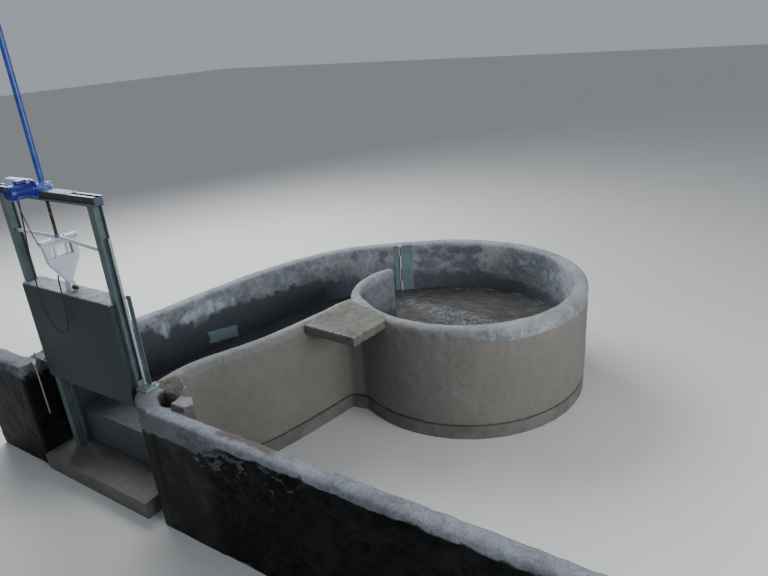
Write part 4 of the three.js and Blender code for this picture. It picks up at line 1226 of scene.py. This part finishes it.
def moulded(body, low, high, edge, lid=None):
    """A box with rounded edges, upright corners first, and a groove where its lid meets it."""
    low, high = Vector(low), Vector(high)
    levels = [(low.z, edge * 0.5), (low.z + edge * 0.5, 0.0)]
    if lid:
        levels += [(lid - 0.0015, 0.0), (lid - 0.0008, 0.0012)]
        levels += [(lid + 0.0008, 0.0012), (lid + 0.0015, 0.0)]
    levels += [(high.z - edge, 0.0), (high.z - edge * 0.5, edge * 0.134),
               (high.z - edge * 0.13, edge * 0.5), (high.z, edge)]
    corners = ((high.x - edge, high.y - edge), (low.x + edge, high.y - edge),
               (low.x + edge, low.y + edge), (high.x - edge, low.y + edge))
    rings = []
    for z, inset in levels:
        ring = []
        for quarter, centre in enumerate(corners):
            for k in range(6):
                angle = math.radians(90 * quarter + 18 * k)
                r = edge - inset
                ring.append((centre[0] + r * math.cos(angle), centre[1] + r * math.sin(angle), z))
        rings.append(ring)
    loft(body, rings)


box_low, box_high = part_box("terminal_box")
terminals = bmesh.new()
moulded(terminals, box_low, box_high, 0.005, box_low.z + 0.016)
for x in (box_low.x + 0.008, box_high.x - 0.008):
    for y in (box_low.y + 0.008, box_high.y - 0.008):
        turned(terminals, [(0, 0.0032), (0.0008, 0.0030)], (x, y, box_high.z - 0.0002), UP, 12)
built("terminal_box_lid", terminals, box_blue, "root", "drive_blue", "terminal_box")

gear = bmesh.new()
gear_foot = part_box("gear_housing")[0].z
turned(gear, [(0, 0.056), (0.006, 0.056), (0.007, 0.052), (0.030, 0.052), (0.032, 0.0555),
              (0.040, 0.0555), (0.044, 0.052), (0.046, 0.044), (0.053, 0.042), (0.055, 0.034),
              (0.060, 0.032), (0.066, 0.030)], (0, 0, gear_foot), UP, 40)
turned(gear, [(0, 0.033), (0.004, 0.034), (0.010, 0.034), (0.014, 0.026), (0.100, 0.025),
              (0.120, 0.025), (0.124, 0.0275), (0.130, 0.028)], (AXLE_X, -0.088, AXLE_Z), BACK, 32)
bolt_circle(gear, 6, 20, 0.0475, 0.007, (0, 0, gear_foot + 0.0445), UP)
for x, y in ((-0.045, -0.038), (-0.045, 0.038), (0.046, 0.040)):
    turned(gear, [(0, 0.012), (0.007, 0.012), (0.009, 0.010)], (x, y, gear_foot), UP, 16)
built("worm_gear_housing", gear, gear_blue, "root", "light_blue", "gear_housing")
cap_blue = enamel("cap_blue", colour(132, 160, 204), colour(166, 188, 220), 0.35)
cap = bmesh.new()
turned(cap, [(0, 0.0265), (0.004, 0.0280), (0.011, 0.0280), (0.0150, 0.0240), (0.0160, 0.012),
             (0.0155, 0.0)], (AXLE_X, 0.0425, AXLE_Z), BACK, 32)
bolt_circle(cap, 3, 90, 0.020, 0.005, (AXLE_X, 0.0565, AXLE_Z), BACK)
built("worm_end_cap", cap, cap_blue, "root", "light_blue")

case_low, case_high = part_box("control_box")
coat = Finish("grey_plastic")
dust = coat.grain(14, 5, 0.65)
moulding = coat.mix(coat.range(dust, 0.35, 0.7), colour(170, 196, 236), colour(200, 218, 246))
grey_plastic = coat.close(moulding, coat.between(dust, 0.42, 0.62),
                          coat.relief(coat.grain(240, 3), 0.0004), Specular_IOR_Level=0.4)
case = bmesh.new()
moulded(case, case_low, case_high, 0.012, case_low.z + 0.052)
for x in (case_low.x + 0.022, (case_low.x + case_high.x) / 2, case_high.x - 0.022):
    for y in (case_low.y + 0.011, case_high.y - 0.011):
        turned(case, [(0, 0.0045), (0.0012, 0.0042)], (x, y, case_high.z - 0.0008), UP, 12)
built("control_enclosure", case, grey_plastic, "root", "grey_plastic", "control_box")

PIPE_RADIUS = 0.023
PIPE_LENGTH = 1.508
pipe_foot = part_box("cover_pipe")[0].z
tube = bmesh.new()
turned(tube, [(0, 0.018), (0.0, 0.0215), (0.001, PIPE_RADIUS), (1.490, PIPE_RADIUS),
              (1.4925, PIPE_RADIUS), (1.500, 0.0222), (1.504, 0.020), (1.5068, 0.016),
              (PIPE_LENGTH, 0.008), (PIPE_LENGTH, 0.0)], (0, 0, pipe_foot), UP, 36)
built("stem_cover_pipe", tube, pipe_blue, "root", "drive_blue", "cover_pipe")


# Cables
# Black rubber cables from the motor's glands. One falls in a wide loop before the leaf and climbs
# again to the bracket, with a joint at its lowest point, and a thinner one runs to the bracket's head.
coat = Finish("black_cable")
scuff = coat.grain(90, 4, 0.6)
sheath = coat.mix(coat.range(scuff, 0.4, 0.7), colour(26, 26, 28), colour(52, 52, 52))
black_cable = coat.close(sheath, 0.55, coat.relief(scuff, 0.0004))


def cable(name, route, diameter, sides=12):
    """A cable swept along its route."""
    line = smooth_line(route)
    tangents = np.gradient(line, axis=0)
    tangents /= np.linalg.norm(tangents, axis=1)[:, None]
    side = Vector(tangents[0]).orthogonal().normalized()
    rings = []
    for k, (centre, tangent) in enumerate(zip(line, tangents)):
        side = (side - Vector(tangent) * side.dot(tangent)).normalized()
        other = Vector(tangent).cross(side)
        radius = diameter / 2 * (0.985 + 0.015 * math.sin(0.9 * k))
        rings.append([Vector(centre) + radius * (math.cos(a) * side + math.sin(a) * other)
                      for a in (2 * math.pi * n / sides for n in range(sides))])
    body = bmesh.new()
    loft(body, rings)
    made = built(name + "_run", body, black_cable, None, "black_cable", name, sharp=60)
    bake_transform(made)


cable("cable_drive", [
    (-0.012, -0.215, 2.8297), (-0.013, -0.215, 2.806), (-0.018, -0.216, 2.760), (-0.028, -0.217, 2.690),
    (-0.040, -0.218, 2.610), (-0.054, -0.220, 2.520), (-0.068, -0.222, 2.420), (-0.081, -0.223, 2.320),
    (-0.092, -0.224, 2.220), (-0.103, -0.223, 2.130), (-0.114, -0.221, 2.040), (-0.124, -0.216, 1.950),
    (-0.128, -0.208, 1.870), (-0.127, -0.197, 1.800), (-0.119, -0.185, 1.735), (-0.105, -0.173, 1.688),
    (-0.086, -0.164, 1.660), (-0.066, -0.1567, 1.649), (-0.050, -0.151, 1.648)], 0.012)
cable("cable_leaf", [
    (-0.0493, -0.1508, 1.648), (-0.035, -0.146, 1.6486), (-0.019, -0.141, 1.658), (-0.003, -0.136, 1.676),
    (0.012, -0.131, 1.708), (0.022, -0.126, 1.746), (0.027, -0.121, 1.796), (0.029, -0.117, 1.850),
    (0.030, -0.114, 1.910), (0.031, -0.112, 1.970), (0.030, -0.110, 2.020), (0.026, -0.107, 2.064),
    (0.019, -0.101, 2.105), (0.010, -0.092, 2.140), (0.003, -0.0815, 2.165)], 0.012)
cable("cable_limit", [
    (0.010, -0.234, 2.8297), (0.010, -0.2336, 2.810), (0.009, -0.232, 2.785), (0.009, -0.229, 2.760),
    (0.008, -0.2255, 2.735), (0.007, -0.2215, 2.710), (0.006, -0.2175, 2.685), (0.005, -0.213, 2.660),
    (0.004, -0.208, 2.633), (0.003, -0.203, 2.607), (0.002, -0.1975, 2.580), (0.001, -0.1915, 2.553),
    (0.0, -0.185, 2.525), (0.0, -0.1785, 2.498), (0.0, -0.1725, 2.474), (0.0, -0.168, 2.452)], 0.008)


# Plate and staff gauges
# A grey-green steel plate lines the wall where the scroll enters the basin, with a narrow staff
# gauge on it in red and white. A second gauge stands on the left pier.
fitting_green = steel_paint("fitting_green", colour(98, 118, 122), colour(112, 132, 134), rust=0.2)
crisp("basin_plate", fitting_green, 0.0010)


def staff_paint(name, across, middle, block, first="GREATER_THAN"):
    """Faded white gauge paint, with red marks that change sides down the staff."""
    coat = Finish(name)
    at = coat.add("ShaderNodeSeparateXYZ", {0: coat.place}).outputs[across]
    side = coat.maths(first, at, middle)
    step = coat.maths("FRACT", coat.times(coat.height, 0.5 / block), 0.0)
    red_here = coat.maths("COMPARE", side, coat.maths("GREATER_THAN", step, 0.5))
    faded = coat.grain(40, 5, 0.6)
    red = coat.mix(faded, colour(104, 38, 66), colour(76, 34, 56))
    white = coat.mix(faded, colour(232, 216, 226), colour(204, 190, 204))
    return coat.close(coat.mix(red_here, white, red), 0.5, coat.relief(faded, 0.0005))


WALL_BLOCK = 0.18
PIER_BLOCK = 0.012
gauge_low, gauge_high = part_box("basin_gauge")
wall_middle = (gauge_low.x + gauge_high.x) / 2
wall_paint = staff_paint("basin_gauge_paint", "X", wall_middle, WALL_BLOCK, "LESS_THAN")
crisp("basin_gauge", wall_paint, 0.0008)
pier_low, pier_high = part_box("gate_gauge")
middle = (pier_low.y + pier_high.y) / 2
pier_paint = staff_paint("gate_staff_paint", "Y", middle, PIER_BLOCK)
staff = bmesh.new()
moulded(staff, (pier_low.x, middle - 0.0062, pier_low.z),
        (pier_high.x - 0.002, middle + 0.0062, pier_high.z), 0.002)
built("gate_staff", staff, pier_paint, "root", "gauge_paint", "gate_gauge")
caps = bmesh.new()
moulded(caps, (pier_low.x - 0.002, middle - 0.013, pier_high.z - 0.030),
        (pier_high.x + 0.002, middle + 0.013, pier_high.z + 0.004), 0.002)
moulded(caps, (gauge_low.x - 0.004, gauge_low.y - 0.002, gauge_high.z - 0.022),
        (gauge_high.x + 0.004, gauge_high.y + 0.006, gauge_high.z + 0.003), 0.002)
built("gauge_caps", caps, white_paint, "root", "gauge_paint")


# Floor and light
# A plain pale floor under the object and soft light: a wide panel overhead, a second at
# the side, and a little from all round.
FLOOR_REACH = 70
floor_mesh = bpy.data.meshes.new("studio_floor")
floor_mesh.from_pydata([(-FLOOR_REACH, -FLOOR_REACH, -0.001), (FLOOR_REACH, -FLOOR_REACH, -0.001),
                        (FLOOR_REACH, FLOOR_REACH, -0.001), (-FLOOR_REACH, FLOOR_REACH, -0.001)], [],
                       [(0, 1, 2, 3)])
studio = Finish("studio_floor")
pale = studio.mix(studio.grain(0.8, 3), colour(196, 196, 194), colour(202, 202, 200))
floor_mesh.materials.append(studio.close(pale, 0.9))
studio_floor = piece("studio_floor", floor_mesh)


def soft_panel(name, place, aim, size, power, tint):
    panel = bpy.data.lights.new(name, "AREA")
    panel.shape = "RECTANGLE"
    panel.size, panel.size_y = size
    panel.energy = power
    panel.color = tint
    lamp = bpy.data.objects.new(name, panel)
    bpy.context.scene.collection.objects.link(lamp)
    lamp.location = place
    lamp.rotation_mode = "QUATERNION"
    lamp.rotation_quaternion = (Vector(aim) - Vector(place)).to_track_quat("-Z", "Y")


soft_panel("overhead_panel", (-5.0, 5.0, 7.5), (1.4, 1.9, 0.8), (8, 6), 1400, (0.97, 0.985, 1.0))
soft_panel("right_panel", (9.5, 0.5, 3.6), (0.0, 1.2, 1.0), (6, 3), 500, (0.97, 0.985, 1.0))
world = bpy.data.worlds.new("soft_surround")
world.use_nodes = True
world.node_tree.nodes["Background"].inputs["Color"].default_value = (0.81, 0.87, 0.95, 1)
world.node_tree.nodes["Background"].inputs["Strength"].default_value = 0.43
bpy.context.scene.world = world
